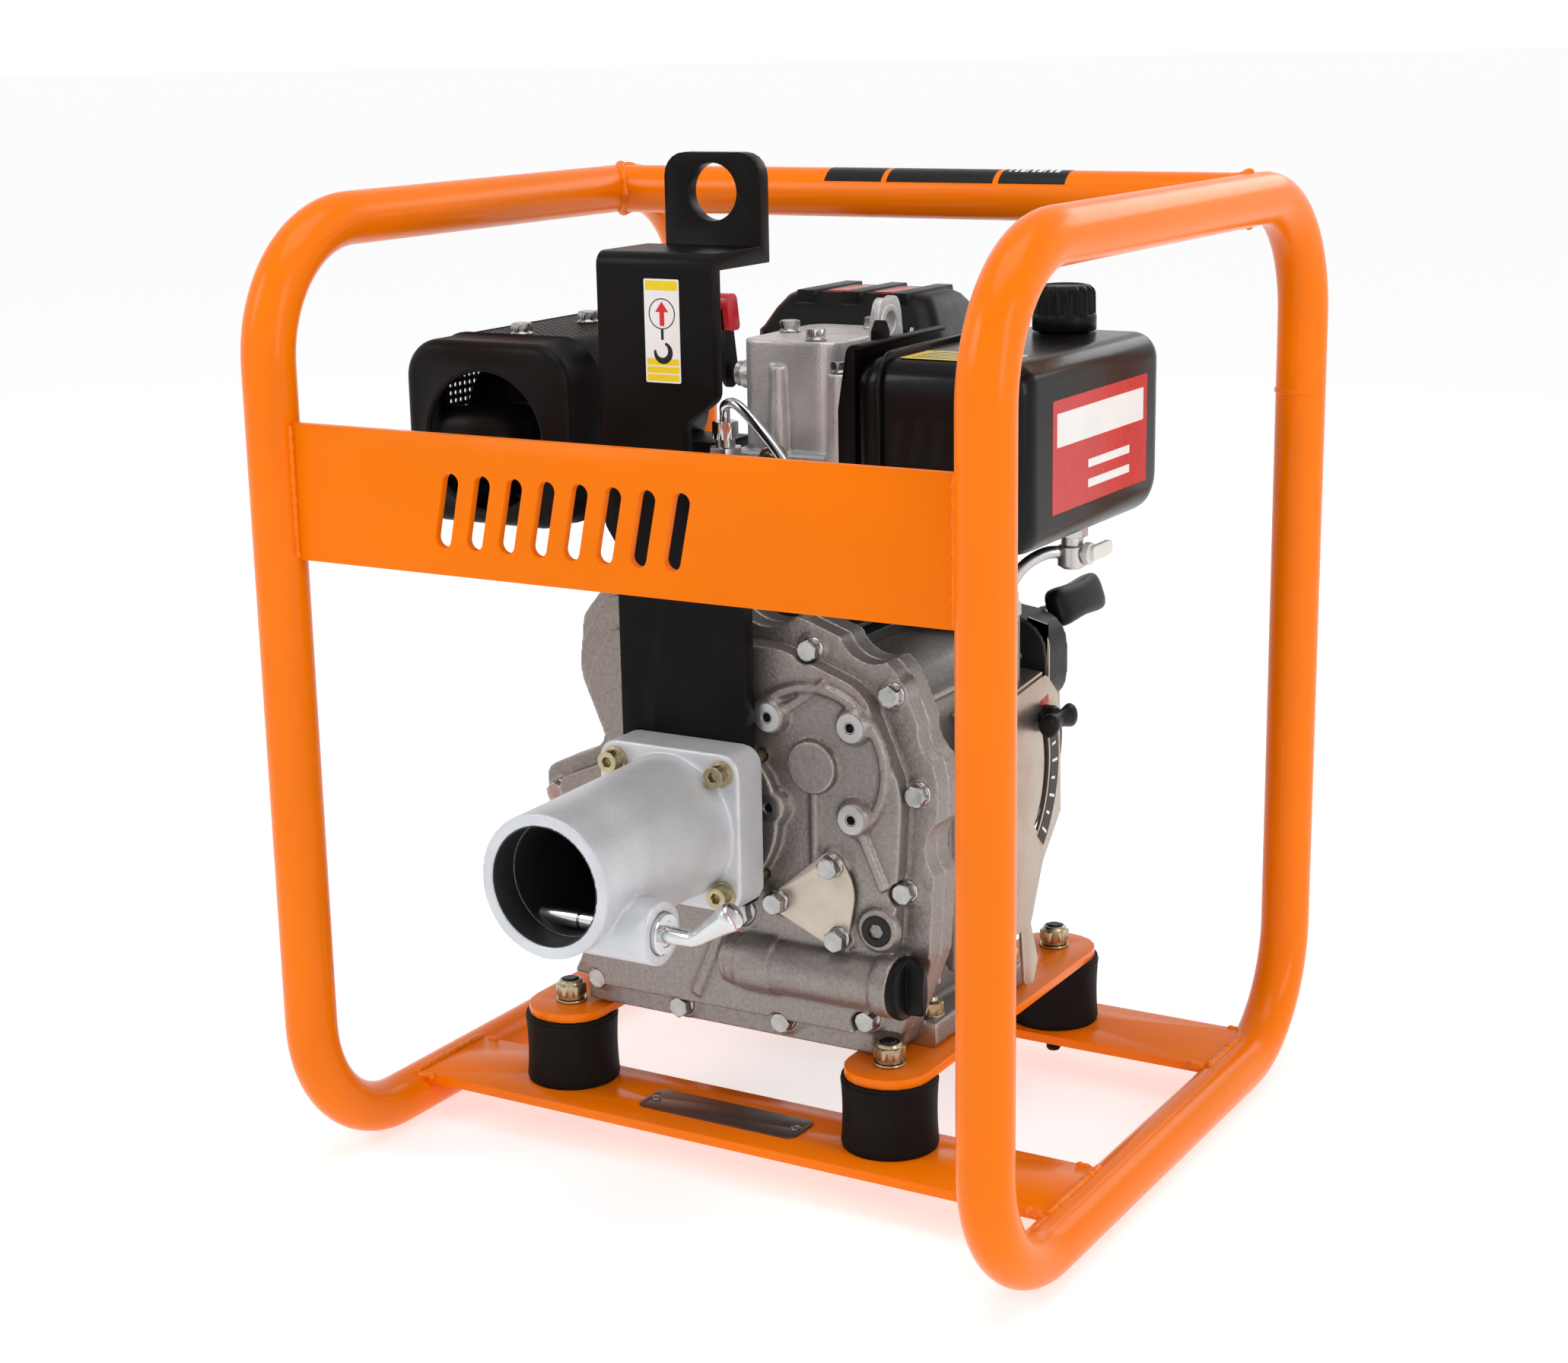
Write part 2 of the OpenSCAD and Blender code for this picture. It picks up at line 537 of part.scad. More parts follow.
module camshaft() color("lightgray") place() {
    turned_gear(2 * crank_teeth, line_angle + 180 + 90 / crank_teeth, cam_centre, gear_y0, gear_y1);
    cyl_y(cam_centre.x, cam_centre.y, cover_y - 1, -21, 8);
    for (a = [[-52, 40], [-40, 160]]) intersection() {
        cyl_y(cam_centre.x, cam_centre.y, a[0] - 4, a[0] + 4, 17);
        union() {
            cyl_y(cam_centre.x, cam_centre.y, a[0] - 4, a[0] + 4, 12);
            cyl_y(cam_centre.x + 7 * cos(a[1]), cam_centre.y + 7 * sin(a[1]), a[0] - 4, a[0] + 4, 8);
        }
    }
}
module flywheel() color("darkgray") place() difference() {
    union() {
        cyl_y(crank_x, crank_z, 80, 104, 92);
        cyl_y(crank_x, crank_z, 103, 120, 30);
        for (i = [0:15]) translate([crank_x, 0, crank_z]) rotate([0, i * 22.5, 0])
            block([52, 90], [103, 120], [-1.5, 1.5]);
    }
    cyl_y(crank_x, crank_z, 79, 121, 12.55);
}
module piston() color("silver") place() difference() {
    cyl_z(crank_x, cyl_y0, barrel_top - 62, barrel_top - 1, piston_d / 2);
    cyl_z(crank_x, cyl_y0, barrel_top - 63, barrel_top - 12, piston_d / 2 - 5);
    cyl_x(cyl_y0, barrel_top - 34, crank_x - 40, crank_x + 40, 9);
    for (z = [8, 14, 20]) difference() {
        cyl_z(crank_x, cyl_y0, barrel_top - z - 1, barrel_top - z + 1, 40);
        cyl_z(crank_x, cyl_y0, barrel_top - z - 2, barrel_top - z + 2, piston_d / 2 - 3);
    }
}

// ---- cylinder, head and rocker cover -------------------------------------------------------------

fin_x = [-73, 39];
fin_y = [-38, 66];
module cylinder_barrel() color([0.5, 0.5, 0.5]) place() difference() {
    union() {
        cyl_z(crank_x, cyl_y0, block_top - 20, barrel_top, 42);
        for (i = [0:6]) slab_z(box_outline(fin_x, fin_y, 10), block_top + 4 + 9 * i, block_top + 7 + 9 * i);
        slab_z(box_outline(fin_x, fin_y, 10), barrel_top - 6, barrel_top);
        slab_z(box_outline(fin_x, fin_y, 10), block_top, block_top + 5);
    }
    cyl_z(crank_x, cyl_y0, block_top - 21, barrel_top + 1, piston_d / 2 + 0.1);
}
inj_c = [-40, -38];
module cylinder_head() color([0.6, 0.6, 0.6]) place() difference() {
    union() {
        slab_z(box_outline(fin_x, [-38, 70], 8), barrel_top, barrel_top + 8);
        slab_z(box_outline([-62, 30], [-30, 66], 8), barrel_top + 7, head_top - 6);
        slab_z(box_outline([-56, 40], [-34, 80], 8), head_top - 7, head_top);
        cyl_z(inj_c.x, inj_c.y, barrel_top + 7, head_top, 13);
    }
    cyl_z(crank_x, cyl_y0, barrel_top - 1, barrel_top + 5, 30);
    cyl_z(inj_c.x, inj_c.y, barrel_top + 20, head_top + 1, 8.1);
}
module rocker_cover() color([0.63, 0.63, 0.62]) place() difference() {
    union() {
        slab_z(box_outline([-44, 40], [-24, 80], 10), head_top, head_top + 8);
        slab_z(box_outline([-40, 26], [-20, 76], 12), head_top + 7, cover_top);
        for (p = ROCKER_BOLTS) cyl_z(p.x, p.y, head_top, p.x > 20 ? 488 : cover_top, 8);
        cyl_x(0, 481, -48, -30, 9);
    }
    slab_z(box_outline([-34, 20], [-14, 70], 8), head_top - 1, cover_top - 5);
    for (p = ROCKER_BOLTS) cyl_z(p.x, p.y, (p.x > 20 ? 488 : cover_top) - 31, cover_top + 1, 3.1);
    cyl_x(0, 481, -49, -36, 4.1);
}
decomp = [0, 481];
module decompression_lever() color("gray") place() {
    cyl_x(decomp.x, decomp.y, -58, -37, 4);
    slab_x(rounded([[decomp.x - 9, decomp.y - 9, 8], [decomp.x + 9, decomp.y - 9, 8],
                    [decomp.x + 2, decomp.y + 30, 3], [decomp.x - 7, decomp.y + 30, 3]]), -60, -57);
    slab_x(rounded([[decomp.x - 6, decomp.y + 29, 0], [decomp.x + 1, decomp.y + 29, 0],
                    [decomp.x - 3, decomp.y + 45, 2], [decomp.x - 9, decomp.y + 45, 2]]), -60, -57);
}
module decompression_grip() color("crimson") place() difference() {
    slab_x(rounded([[decomp.x - 9, decomp.y + 27, 3], [decomp.x + 4, decomp.y + 27, 3],
                    [decomp.x, decomp.y + 50, 5], [decomp.x - 12, decomp.y + 50, 5]]), -64, -53);
    slab_x([[decomp.x - 10, decomp.y + 20], [decomp.x + 5, decomp.y + 20],
            [decomp.x - 1, decomp.y + 46], [decomp.x - 11, decomp.y + 46]], -60.05, -56.95);
}
module injector() color("gainsboro") place() {
    cyl_z(inj_c.x, inj_c.y, barrel_top + 20, head_top, 8);
    hex_z(inj_c.x, inj_c.y, head_top, head_top + 12, 19);
    cyl_z(inj_c.x, inj_c.y, head_top + 11, head_top + 26, 6);
}
// Steel pipe from the injector down past the front of the head to the pump
PIPE = [[-40, -38, 455], [-40, -38, 463], [-34, -42, 469], [6, -50, 440], [24, -54, 418],
        [28, -55, 396], [28, -55, block_top]];
module pipe_run(points, r) {
    for (i = [0:len(points) - 2]) {
        d = points[i + 1] - points[i];
        translate(points[i]) rotate([0, acos(d.z / norm(d)), atan2(d.y, d.x)])
            cylinder(h = norm(d), r = r);
    }
    for (i = [1:len(points) - 2]) translate(points[i]) sphere(r + 0.02);
}
module injector_pipe() color("silver") place() pipe_run(PIPE, 3.2);

// ---- cooling and recoil starter -------------------------------------------------------------------

fan_r = 122;
case_y1 = 140;
lobe_y = 106;
module fan_case() color([0.35, 0.35, 0.35]) place() difference() {
    union() {
        cyl_y(crank_x, crank_z, case_rear, case_y1, fan_r);
        slab_y(rounded([[30, 250, 5], [126, 268, 20], [126, 322, 22], [-20, 345, 20]]), case_rear, lobe_y);
    }
    cyl_y(crank_x, crank_z, case_rear + 3, case_y1 + 1, fan_r - 4);
    slab_y(rounded([[34, 254, 5], [122, 272, 18], [122, 318, 20], [-20, 341, 18]]),
           case_rear + 3, lobe_y - 3);
    cyl_y(crank_x, crank_z, case_rear - 1, case_rear + 4, 30);
}
module side_shroud() color([0.62, 0.61, 0.59]) place() difference() {
    slab_y(rounded([[-116.2, 238, 2], [-133, 246, 8], [-151, 288, 30], [-147, 326, 16], [-132, 344, 10],
                    [-108, 345, 5], [-108, 316.4, 2], [-116.2, 304, 3]]), -44, 60);
    slab_y(rounded([[-112, 244, 2], [-130, 250, 5], [-147, 289, 26], [-143, 323, 12], [-130, 340, 7],
                    [-104, 341, 2]]), -40, 61);
}
housing_y = [case_y1, 176];
module recoil_housing() color([0.12, 0.12, 0.12]) place() difference() {
    union() {
        cyl_y(crank_x, crank_z, case_y1, case_y1 + 4, fan_r);
        cyl_y(crank_x, crank_z, case_y1 + 3, housing_y[1], 92, 84);
        translate([50, reel_y, rope_z(50)]) rotate([0, 90 - pull_tilt, 0]) cylinder(h = 24, r = 9);
    }
    cyl_y(crank_x, crank_z, case_y1 - 1, housing_y[1] - 4, 80);
    for (i = [0:11]) translate([crank_x, 0, crank_z]) rotate([0, i * 30 + 15, 0])
        block([44, 72], [housing_y[1] - 6, housing_y[1] + 1], [-5, 5]);
    translate([0, reel_y, rope_z(0)]) rotate([0, 90 - pull_tilt, 0]) cylinder(h = 90, r = 4.5);
    cyl_y(crank_x, crank_z, housing_y[1] - 5, housing_y[1] + 1, 6.05);
}
module recoil_reel() color([0.2, 0.2, 0.2]) place() difference() {
    union() {
        cyl_y(crank_x, crank_z, reel_y - 7, reel_y - 4, reel_r + 8);
        cyl_y(crank_x, crank_z, reel_y - 4.5, reel_y + 4.5, reel_r - 6);
        cyl_y(crank_x, crank_z, reel_y + 4, reel_y + 7, reel_r + 8);
        cyl_y(crank_x, crank_z, reel_y + 6, housing_y[1] - 0.5, 6);
    }
    cyl_y(crank_x, crank_z, reel_y - 8, reel_y + 3, 30);
}
module starter_rope() color("white") place() translate([crank_x, reel_y, crank_z]) rotate([90, 0, 0])
    for (z = [-1.9, 1.9]) translate([0, 0, z]) rotate_extrude() translate([rope_path_r, 0]) circle(1.85);
module starter_grip() color([0.1, 0.1, 0.1]) place() translate(grip_c) rotate([0, -pull_tilt, 0])
difference() {
    union() {
        slab_z(box_outline([-8, 9], [-35, 35], 8), -13, 13);
        translate([-18, 0, 0]) rotate([0, 90, 0]) cylinder(h = 12, r = 9);
    }
    translate([-19, 0, 0]) rotate([0, 90, 0]) cylinder(h = 16, r = 2.6);
}

// ---- exhaust, air cleaner -----------------------------------------------------------------------

sheet = 2;
can_r = 47;
can_front = muffler_front + 46;
module muffler_body() color([0.1, 0.1, 0.1]) place() difference() {
    union() {
        cyl_y(muffler_c.x, muffler_c.y, can_front, muffler_rear - 8, can_r);
        block([muffler_x[1] - 20, fin_x[0] - 1], [10, 52], [404, 434]);
    }
    cyl_y(muffler_c.x, muffler_c.y, can_front + sheet, muffler_rear - 10, can_r - sheet);
    cyl_y(muffler_c.x, muffler_c.y, can_front - 1, can_front + 3, 15);
}
CAP_OUT = box_outline(muffler_x, muffler_z, 24);
CAP_IN = box_outline([muffler_x[0] + sheet, muffler_x[1] - sheet],
                     [muffler_z[0] + sheet, muffler_z[1] - sheet], 22);
module muffler_end_cap() color([0.1, 0.1, 0.1]) place() difference() {
    slab_y(CAP_OUT, muffler_front, muffler_front + cap_depth);
    slab_y(CAP_IN, muffler_front + sheet, muffler_front + cap_depth + 1);
    cyl_y(muffler_c.x, muffler_c.y - 4, muffler_front - 1, muffler_front + 3, 42);
}
module muffler_guard() color([0.12, 0.12, 0.12]) place() difference() {
    slab_y(CAP_OUT, muffler_front + cap_depth + 0.2, muffler_rear);
    slab_y(CAP_IN, muffler_front + cap_depth, muffler_rear + 1);
    block([muffler_x[1] - 30, muffler_x[1] + 1], [muffler_front, muffler_rear + 1], [390, 480]);
    for (p = GUARD_BOLTS) cyl_z(p.x, p.y, muffler_z[1] - 10, muffler_z[1] + 1, 3.1);
}
elbow_r = 14;
module exhaust_elbow() color([0.12, 0.12, 0.12]) place() difference() {
    union() {
        cyl_y(muffler_c.x, muffler_c.y, can_front - 8, can_front + 1.9, elbow_r);
        translate([muffler_c.x - 18, can_front - 8, muffler_c.y]) rotate([0, 0, 270])
            rotate_extrude(angle = 90) translate([18, 0]) circle(elbow_r);
        cyl_x(can_front - 26, muffler_c.y, muffler_c.x - 38, muffler_c.x - 18, elbow_r);
    }
    cyl_x(can_front - 26, muffler_c.y, muffler_c.x - 39, muffler_c.x - 18, elbow_r - 2);
}
air_x = [-92, 40];
air_y = [88, 176];
module air_cleaner() color([0.1, 0.1, 0.1]) place() difference() {
    union() {
        slab_z(box_outline(air_x, air_y, 16), 430, 500);
        slab_z(box_outline([air_x[0] + 6, air_x[1] - 6], [air_y[0] + 6, air_y[1] - 6], 14), 499, 522);
        block([-30, 10], [80.2, 89], [440, 470]);
    }
    slab_z(box_outline([air_x[0] + 3, air_x[1] - 3], [air_y[0] + 3, air_y[1] - 3], 13), 433, 497);
}

// ---- fuel tank and its fittings ---------------------------------------------------------------------

cock = [146, 66];
module fuel_tank() color([0.06, 0.06, 0.06]) place() difference() {
    union() {
        slab_z(box_outline(tank_x, tank_y, 26), tank_z[0], tank_z[1]);
        cyl_z(cap_c.x, cap_c.y, tank_z[1] - 1, tank_z[1] + 8, 14);
    }
    slab_z(box_outline([tank_x[0] + 3, tank_x[1] - 3], [tank_y[0] + 3, tank_y[1] - 3], 23),
           tank_z[0] + 3, tank_z[1] - 3);
    cyl_z(cap_c.x, cap_c.y, tank_z[1] - 4, tank_z[1] + 9, 11);
    cyl_z(cock.x, cock.y, tank_z[0] - 1, tank_z[0] + 4, 5);
}
module fuel_cap() color([0.08, 0.08, 0.08]) place() difference() {
    union() {
        cyl_z(cap_c.x, cap_c.y, tank_z[1] + 0.5, tank_z[1] + 12, 20);
        cyl_z(cap_c.x, cap_c.y, tank_z[1] + 11, tank_z[1] + 29, 18.5);
        for (i = [0:11]) translate([cap_c.x, cap_c.y, 0]) rotate([0, 0, 30 * i])
            block([17, 19.6], [-2, 2], [tank_z[1] + 11, tank_z[1] + 28]);
    }
    cyl_z(cap_c.x, cap_c.y, tank_z[1] - 1, tank_z[1] + 10, 14.1);
}
module tank_bracket() color([0.1, 0.1, 0.1]) place() {
    slab_y(rounded([[45.6, 392, 4], [57.5, 392, 2], [57.5, 506, 1], [62, 506, 0], [62, 509, 0],
                    [52, 509, 6], [45.6, 470, 20]]), -50, 60);
}
module lifting_eye() color("silver") place() difference() {
    slab_x(rounded([[0, head_top - 7, 4], [34, head_top - 7, 4], [34, 512, 0], [32, 532, 12],
                    [4, 532, 12], [0, 512, 0]]), 40, 45.5);
    cyl_x(17, 518, 39, 47, 6);
}
module fuel_cock() color("gray") place() {
    cyl_z(cock.x, cock.y, tank_z[0] - 6, tank_z[0] + 3, 4.9);
    hex_z(cock.x, cock.y, tank_z[0] - 8, tank_z[0], 17);
    cyl_z(cock.x, cock.y, tank_z[0] - 28, tank_z[0] - 7, 9);
    pipe_run([[cock.x - 4, cock.y - 2, tank_z[0] - 18], [cock.x - 16, cock.y - 14, tank_z[0] - 18],
              [cock.x - 24, cock.y - 22, tank_z[0] - 26], [cock.x - 33, cock.y - 26, tank_z[0] - 42]], 4);
    hex_z(cock.x - 33, cock.y - 26, tank_z[0] - 56, tank_z[0] - 41, 17);
}
module fuel_cock_lever() color("white") place() {
    cyl_x(cock.y, tank_z[0] - 18, cock.x + 9.2, cock.x + 13, 7);
    slab_x(rounded([[cock.y - 4, tank_z[0] - 22, 3], [cock.y + 26, tank_z[0] - 22, 4],
                    [cock.y + 26, tank_z[0] - 13, 4], [cock.y - 4, tank_z[0] - 13, 3]]),
           cock.x + 12.9, cock.x + 16);
}

// ---- speed control ----------------------------------------------------------------------------------

PANEL = [[-28, 282, 8], [66, 292, 8], [84, 276, 8], [88, 196, 8], [62, 170, 8], [44, 132, 8],
         [22, 132, 8], [-28, 190, 12]];
module speed_panel() color("gainsboro") place() difference() {
    union() {
        slab_x(rounded(PANEL), panel_x, panel_x + 2.5);
        for (p = [[-18, 250], [30, 186]]) cyl_x(p.x, p.y, 108, panel_x + 1, 5);
    }
    translate([panel_x - 1, lever_pivot.x, lever_pivot.y]) rotate([90, 0, 90])
        rotate([0, 0, -42]) rotate_extrude(angle = 76) translate([lever_r - 4, 0]) square([8, 5]);
    cyl_x(lever_pivot.x, lever_pivot.y, panel_x - 1, panel_x + 4, 4.1);
}
lever_a = 28;
module speed_lever() color("silver") place() {
    cyl_x(lever_pivot.x, lever_pivot.y, panel_x - 6, panel_x + 5, 4);
    translate([0, lever_pivot.x, lever_pivot.y]) rotate([lever_a, 0, 0]) {
        slab_x(rounded([[-8, -8, 7], [lever_r + 7, -6, 5], [lever_r + 7, 6, 5], [-8, 8, 7]]),
               panel_x - 6, panel_x - 3);
        cyl_x(lever_r, 0, panel_x - 4, panel_x + 16, 3);
    }
}
module speed_knob() color([0.08, 0.08, 0.08]) place()
translate([0, lever_pivot.x, lever_pivot.y]) rotate([lever_a, 0, 0]) difference() {
    union() {
        cyl_x(lever_r, 0, panel_x + 3.2, panel_x + 12, 9);
        translate([0, lever_r, 0]) rotate([-lever_a, 0, 0])
            slab_x(box_outline([-6, 6], [-19, 19], 5), panel_x + 11, panel_x + 20);
    }
    cyl_x(lever_r, 0, panel_x + 2, panel_x + 16.2, 3.05);
}

left_hoop();
right_hoop();
rear_cross_tube();
front_panel();
front_base_bar();
rear_base_bar();
id_plate();
id_plate_rivets();
front_left_rubber_mount();
rear_left_rubber_mount();
front_right_rubber_mount();
rear_right_rubber_mount();
mount_studs();
mount_washers();
mount_nuts();
left_engine_rail();
right_engine_rail();
foot_bolts();
lifting_bracket();
coupling_housing();
coupling_screws();
lock_lever();
drive_dog();
crankcase();
gear_cover();
engine_bolts();
cover_plate();
oil_filler_cap();
sump_plug();
cylinder_barrel();
piston();
crankshaft();
camshaft();
flywheel();
fan_case();
side_shroud();
recoil_housing();
recoil_reel();
starter_rope();
starter_grip();
cylinder_head();
rocker_cover();
decompression_lever();
decompression_grip();
injector();
injector_pipe();
muffler_body();
muffler_end_cap();
muffler_guard();
exhaust_elbow();
air_cleaner();
fuel_tank();
fuel_cap();
tank_bracket();
lifting_eye();
fuel_cock();
fuel_cock_lever();
speed_panel();
speed_lever();
speed_knob();
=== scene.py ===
"""Looks of the flexible-shaft drive unit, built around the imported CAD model.

Positions are written in millimetres from the middle of the roll frame, as in part.scad; at() turns them
into the model's metres. Every Blender piece rides on a CAD body by name.
"""
import json
from math import acos, atan2, copysign, cos, degrees, pi, radians, sin, sqrt, tan

import bmesh
import bpy
from mathutils import Matrix, Vector, noise


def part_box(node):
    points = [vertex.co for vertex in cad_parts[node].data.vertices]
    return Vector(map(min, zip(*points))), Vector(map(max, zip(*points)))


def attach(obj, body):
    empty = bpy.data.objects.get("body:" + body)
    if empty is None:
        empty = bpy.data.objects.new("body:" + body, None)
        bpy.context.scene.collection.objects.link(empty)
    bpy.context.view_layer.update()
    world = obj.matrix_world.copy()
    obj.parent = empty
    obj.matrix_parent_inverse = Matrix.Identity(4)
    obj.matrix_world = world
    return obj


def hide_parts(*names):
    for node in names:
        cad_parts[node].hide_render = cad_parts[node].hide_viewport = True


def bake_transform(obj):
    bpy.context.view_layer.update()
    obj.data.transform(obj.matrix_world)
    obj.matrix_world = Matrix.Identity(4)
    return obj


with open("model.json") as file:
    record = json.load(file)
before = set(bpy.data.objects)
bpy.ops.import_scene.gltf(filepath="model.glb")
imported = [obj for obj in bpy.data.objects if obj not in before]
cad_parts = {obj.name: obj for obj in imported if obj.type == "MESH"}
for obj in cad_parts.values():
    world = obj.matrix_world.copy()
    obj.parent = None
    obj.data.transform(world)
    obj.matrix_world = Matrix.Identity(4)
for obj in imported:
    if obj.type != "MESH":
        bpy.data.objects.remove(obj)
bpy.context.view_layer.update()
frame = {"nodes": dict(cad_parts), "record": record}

MM = 0.001
SHIFT_Y = sum(corner.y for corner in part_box("left_hoop")) / 2


def at(x, y, z):
    """A point in part.scad's millimetres, in the model's metres."""
    return Vector((x * MM, y * MM + SHIFT_Y, z * MM))


# ---- materials ----

def two_stops(tree, source, low, high):
    """Colour ramp over source between two (place, colour) stops."""
    ramp = tree.nodes.new("ShaderNodeValToRGB")
    for stop, (place, colour) in zip(ramp.color_ramp.elements, (low, high)):
        stop.position, stop.color = place, (*colour, 1)
    tree.links.new(source, ramp.inputs["Fac"])
    return ramp.outputs["Color"]


M = {}


def material(name, colour, rough, metallic=0.0, vary=0.06, grain=None, edge=0.0, edge_colour=None,
             coat=0.0, patch=25.0, rough_vary=0.08, bevel=0.0, streak=None, hollow_shade=0.0, gloss=0.5, lump=None):
    """Surface with colour patches, a fine bump of (size in mm, strength) and, if asked, a coarse one (lump),
    worn edges (edge) and painted shade that darkens its hollows (cavity). gloss is the strength of its plain
    reflection.
    It is kept in M under its name."""
    M[name] = m = bpy.data.materials.new(name)
    m.use_nodes = True
    nodes, links = m.node_tree.nodes, m.node_tree.links
    shader = nodes["Principled BSDF"]
    for socket, value in (("Metallic", metallic), ("Coat Weight", coat), ("Coat Roughness", 0.06),
                          ("Specular IOR Level", gloss)):
        shader.inputs[socket].default_value = value
    where = where_fine = nodes.new("ShaderNodeTexCoord").outputs["Object"]
    if streak:
        stretch = nodes.new("ShaderNodeMapping")
        stretch.inputs["Scale"].default_value = streak
        links.new(where, stretch.inputs["Vector"])
        where_fine = stretch.outputs["Vector"]

    def noise_at(scale, detail, source=where):
        n = nodes.new("ShaderNodeTexNoise")
        n.inputs["Scale"].default_value = scale
        n.inputs["Detail"].default_value = detail
        links.new(source, n.inputs["Vector"])
        return n.outputs["Fac"]

    def pointed(low, high):
        """Ramp over how far the surface stands out, between two (place, grey) stops."""
        source = nodes.new("ShaderNodeNewGeometry").outputs["Pointiness"]
        return two_stops(m.node_tree, source, *((place, (grey,) * 3) for place, grey in (low, high)))

    def mixed(kind, factor, a, b):
        """Colours a and b mixed; factor and b are sockets or plain values."""
        mix = nodes.new("ShaderNodeMix")
        mix.data_type, mix.blend_type = "RGBA", kind
        for socket, value in (("Factor", factor), ("A", a), ("B", b)):
            if isinstance(value, bpy.types.NodeSocket):
                links.new(value, mix.inputs[socket])
            else:
                mix.inputs[socket].default_value = value
        return mix.outputs["Result"]

    def bumped(normal, size, strength, detail, source):
        bump = nodes.new("ShaderNodeBump")
        bump.inputs["Strength"].default_value = strength
        bump.inputs["Distance"].default_value = size * MM * 0.25
        links.new(noise_at(1 / (size * MM), detail, source), bump.inputs["Height"])
        if normal:
            links.new(normal, bump.inputs["Normal"])
        return bump.outputs["Normal"]

    dark, light = ([min(1.0, c * k) for c in colour] for k in (1 - vary, 1 + vary))
    out = two_stops(m.node_tree, noise_at(patch, 4.0), (0.3, dark), (0.7, light))
    if edge:
        bare = (*(edge_colour or [min(1, c * 1.6) for c in colour]), 1)
        out = mixed("MIX", pointed((0.52, 0), (0.60, edge)), out, bare)
    # painted shade: the colour is darkened in the hollows, where shade falls
    if hollow_shade:
        out = mixed("MULTIPLY", 1.0, out, pointed((0.40, 1 - hollow_shade), (0.50, 1)))
    links.new(out, shader.inputs["Base Color"])
    spread = nodes.new("ShaderNodeMapRange")
    spread.inputs["To Min"].default_value = max(0.02, rough - rough_vary)
    spread.inputs["To Max"].default_value = min(1.0, rough + rough_vary)
    links.new(noise_at(patch * 5, 3.0), spread.inputs["Value"])
    links.new(spread.outputs["Result"], shader.inputs["Roughness"])
    normal = None
    if bevel:
        soft = nodes.new("ShaderNodeBevel")
        soft.inputs["Radius"].default_value = bevel * MM
        normal = soft.outputs["Normal"]
    if grain:
        normal = bumped(normal, *grain, 3.0, where_fine)
    if lump:
        normal = bumped(normal, *lump, 2.0, where)
    if normal:
        links.new(normal, shader.inputs["Normal"])
    return m


material("orange_paint", (0.86, 0.175, 0.0), 0.24, vary=0.04, grain=(5, 0.05), coat=0.05, patch=9,
         rough_vary=0.05, gloss=0.14)
material("panel_paint", (0.83, 0.172, 0.0), 0.34, vary=0.04, grain=(2.2, 0.12), coat=0.02, patch=9,
         rough_vary=0.05, gloss=0.08)
material("weld", (0.85, 0.18, 0.0), 0.30, vary=0.10, grain=(1.5, 0.25), coat=0.08, patch=200, gloss=0.2)
material("black_paint", (0.0042, 0.0036, 0.0033), 0.34, vary=0.25, grain=(1.2, 0.10), edge=0.25,
         edge_colour=(0.03, 0.03, 0.03), patch=40, rough_vary=0.07, gloss=0.09)
material("muffler_paint", (0.005, 0.0042, 0.0038), 0.42, vary=0.3, grain=(0.8, 0.18), patch=40, gloss=0.12)
material("dark_grey_paint", (0.018, 0.019, 0.021), 0.42, metallic=0.25, vary=0.2, grain=(1.6, 0.3), edge=0.5,
         edge_colour=(0.22, 0.22, 0.22), gloss=0.2)
# The next three looks darken their hollows with painted shade (cavity)
material("silver_paint", (0.58, 0.60, 0.63), 0.38, metallic=0.35, vary=0.08, grain=(1.6, 0.55), patch=30,
         lump=(6, 0.10), hollow_shade=0.3)
material("cast_aluminium", (0.27, 0.245, 0.228), 0.38, metallic=0.72, vary=0.16, grain=(1.2, 1.0), edge=0.6,
         edge_colour=(0.60, 0.58, 0.55), patch=420, hollow_shade=0.75, lump=(5, 0.10))
material("cast_bright", (0.66, 0.66, 0.67), 0.38, metallic=0.6, vary=0.14, grain=(1.3, 1.0), edge=0.4,
         edge_colour=(0.7, 0.7, 0.7), patch=35, hollow_shade=0.6)
material("machined_steel", (0.56, 0.555, 0.55), 0.30, metallic=1.0, vary=0.06, grain=(1.0, 0.12), bevel=0.5)
# Dark inside of holes: partly the unpainted metal's own tone, partly painted shade inside the hole
material("bore", (0.045, 0.043, 0.042), 0.40, metallic=0.5, vary=0.2, grain=(0.9, 0.15))
material("yellow_zinc", (0.46, 0.40, 0.25), 0.28, metallic=1.0, vary=0.14, grain=(0.7, 0.08), patch=120)
material("bright_zinc", (0.42, 0.42, 0.41), 0.26, metallic=1.0, vary=0.15, grain=(0.7, 0.10), patch=120,
         bevel=0.4)
material("brushed", (0.50, 0.44, 0.37), 0.32, metallic=0.9, vary=0.08, grain=(0.5, 0.12), streak=(1, 1, 12),
         patch=60)
material("plate_metal", (0.13, 0.11, 0.10), 0.34, metallic=0.9, vary=0.10, grain=(0.5, 0.2),
         streak=(0.06, 1, 1), patch=60)
material("dark_steel", (0.02, 0.02, 0.021), 0.38, metallic=0.6, vary=0.2, grain=(0.8, 0.15), bevel=0.4,
         gloss=0.3)
material("chrome", (0.66, 0.67, 0.68), 0.17, metallic=1.0, vary=0.02, grain=(4, 0.02), rough_vary=0.03)
material("rubber", (0.0055, 0.0045, 0.004), 0.60, vary=0.3, grain=(0.9, 0.25), patch=50, gloss=0.12)
material("black_plastic", (0.0045, 0.0045, 0.0045), 0.38, vary=0.2, grain=(0.6, 0.18), bevel=0.8, gloss=0.14)
material("tank_plastic", (0.0028, 0.0026, 0.0026), 0.27, vary=0.2, grain=(14, 0.03), coat=0.08, patch=12,
         rough_vary=0.04, gloss=0.14)
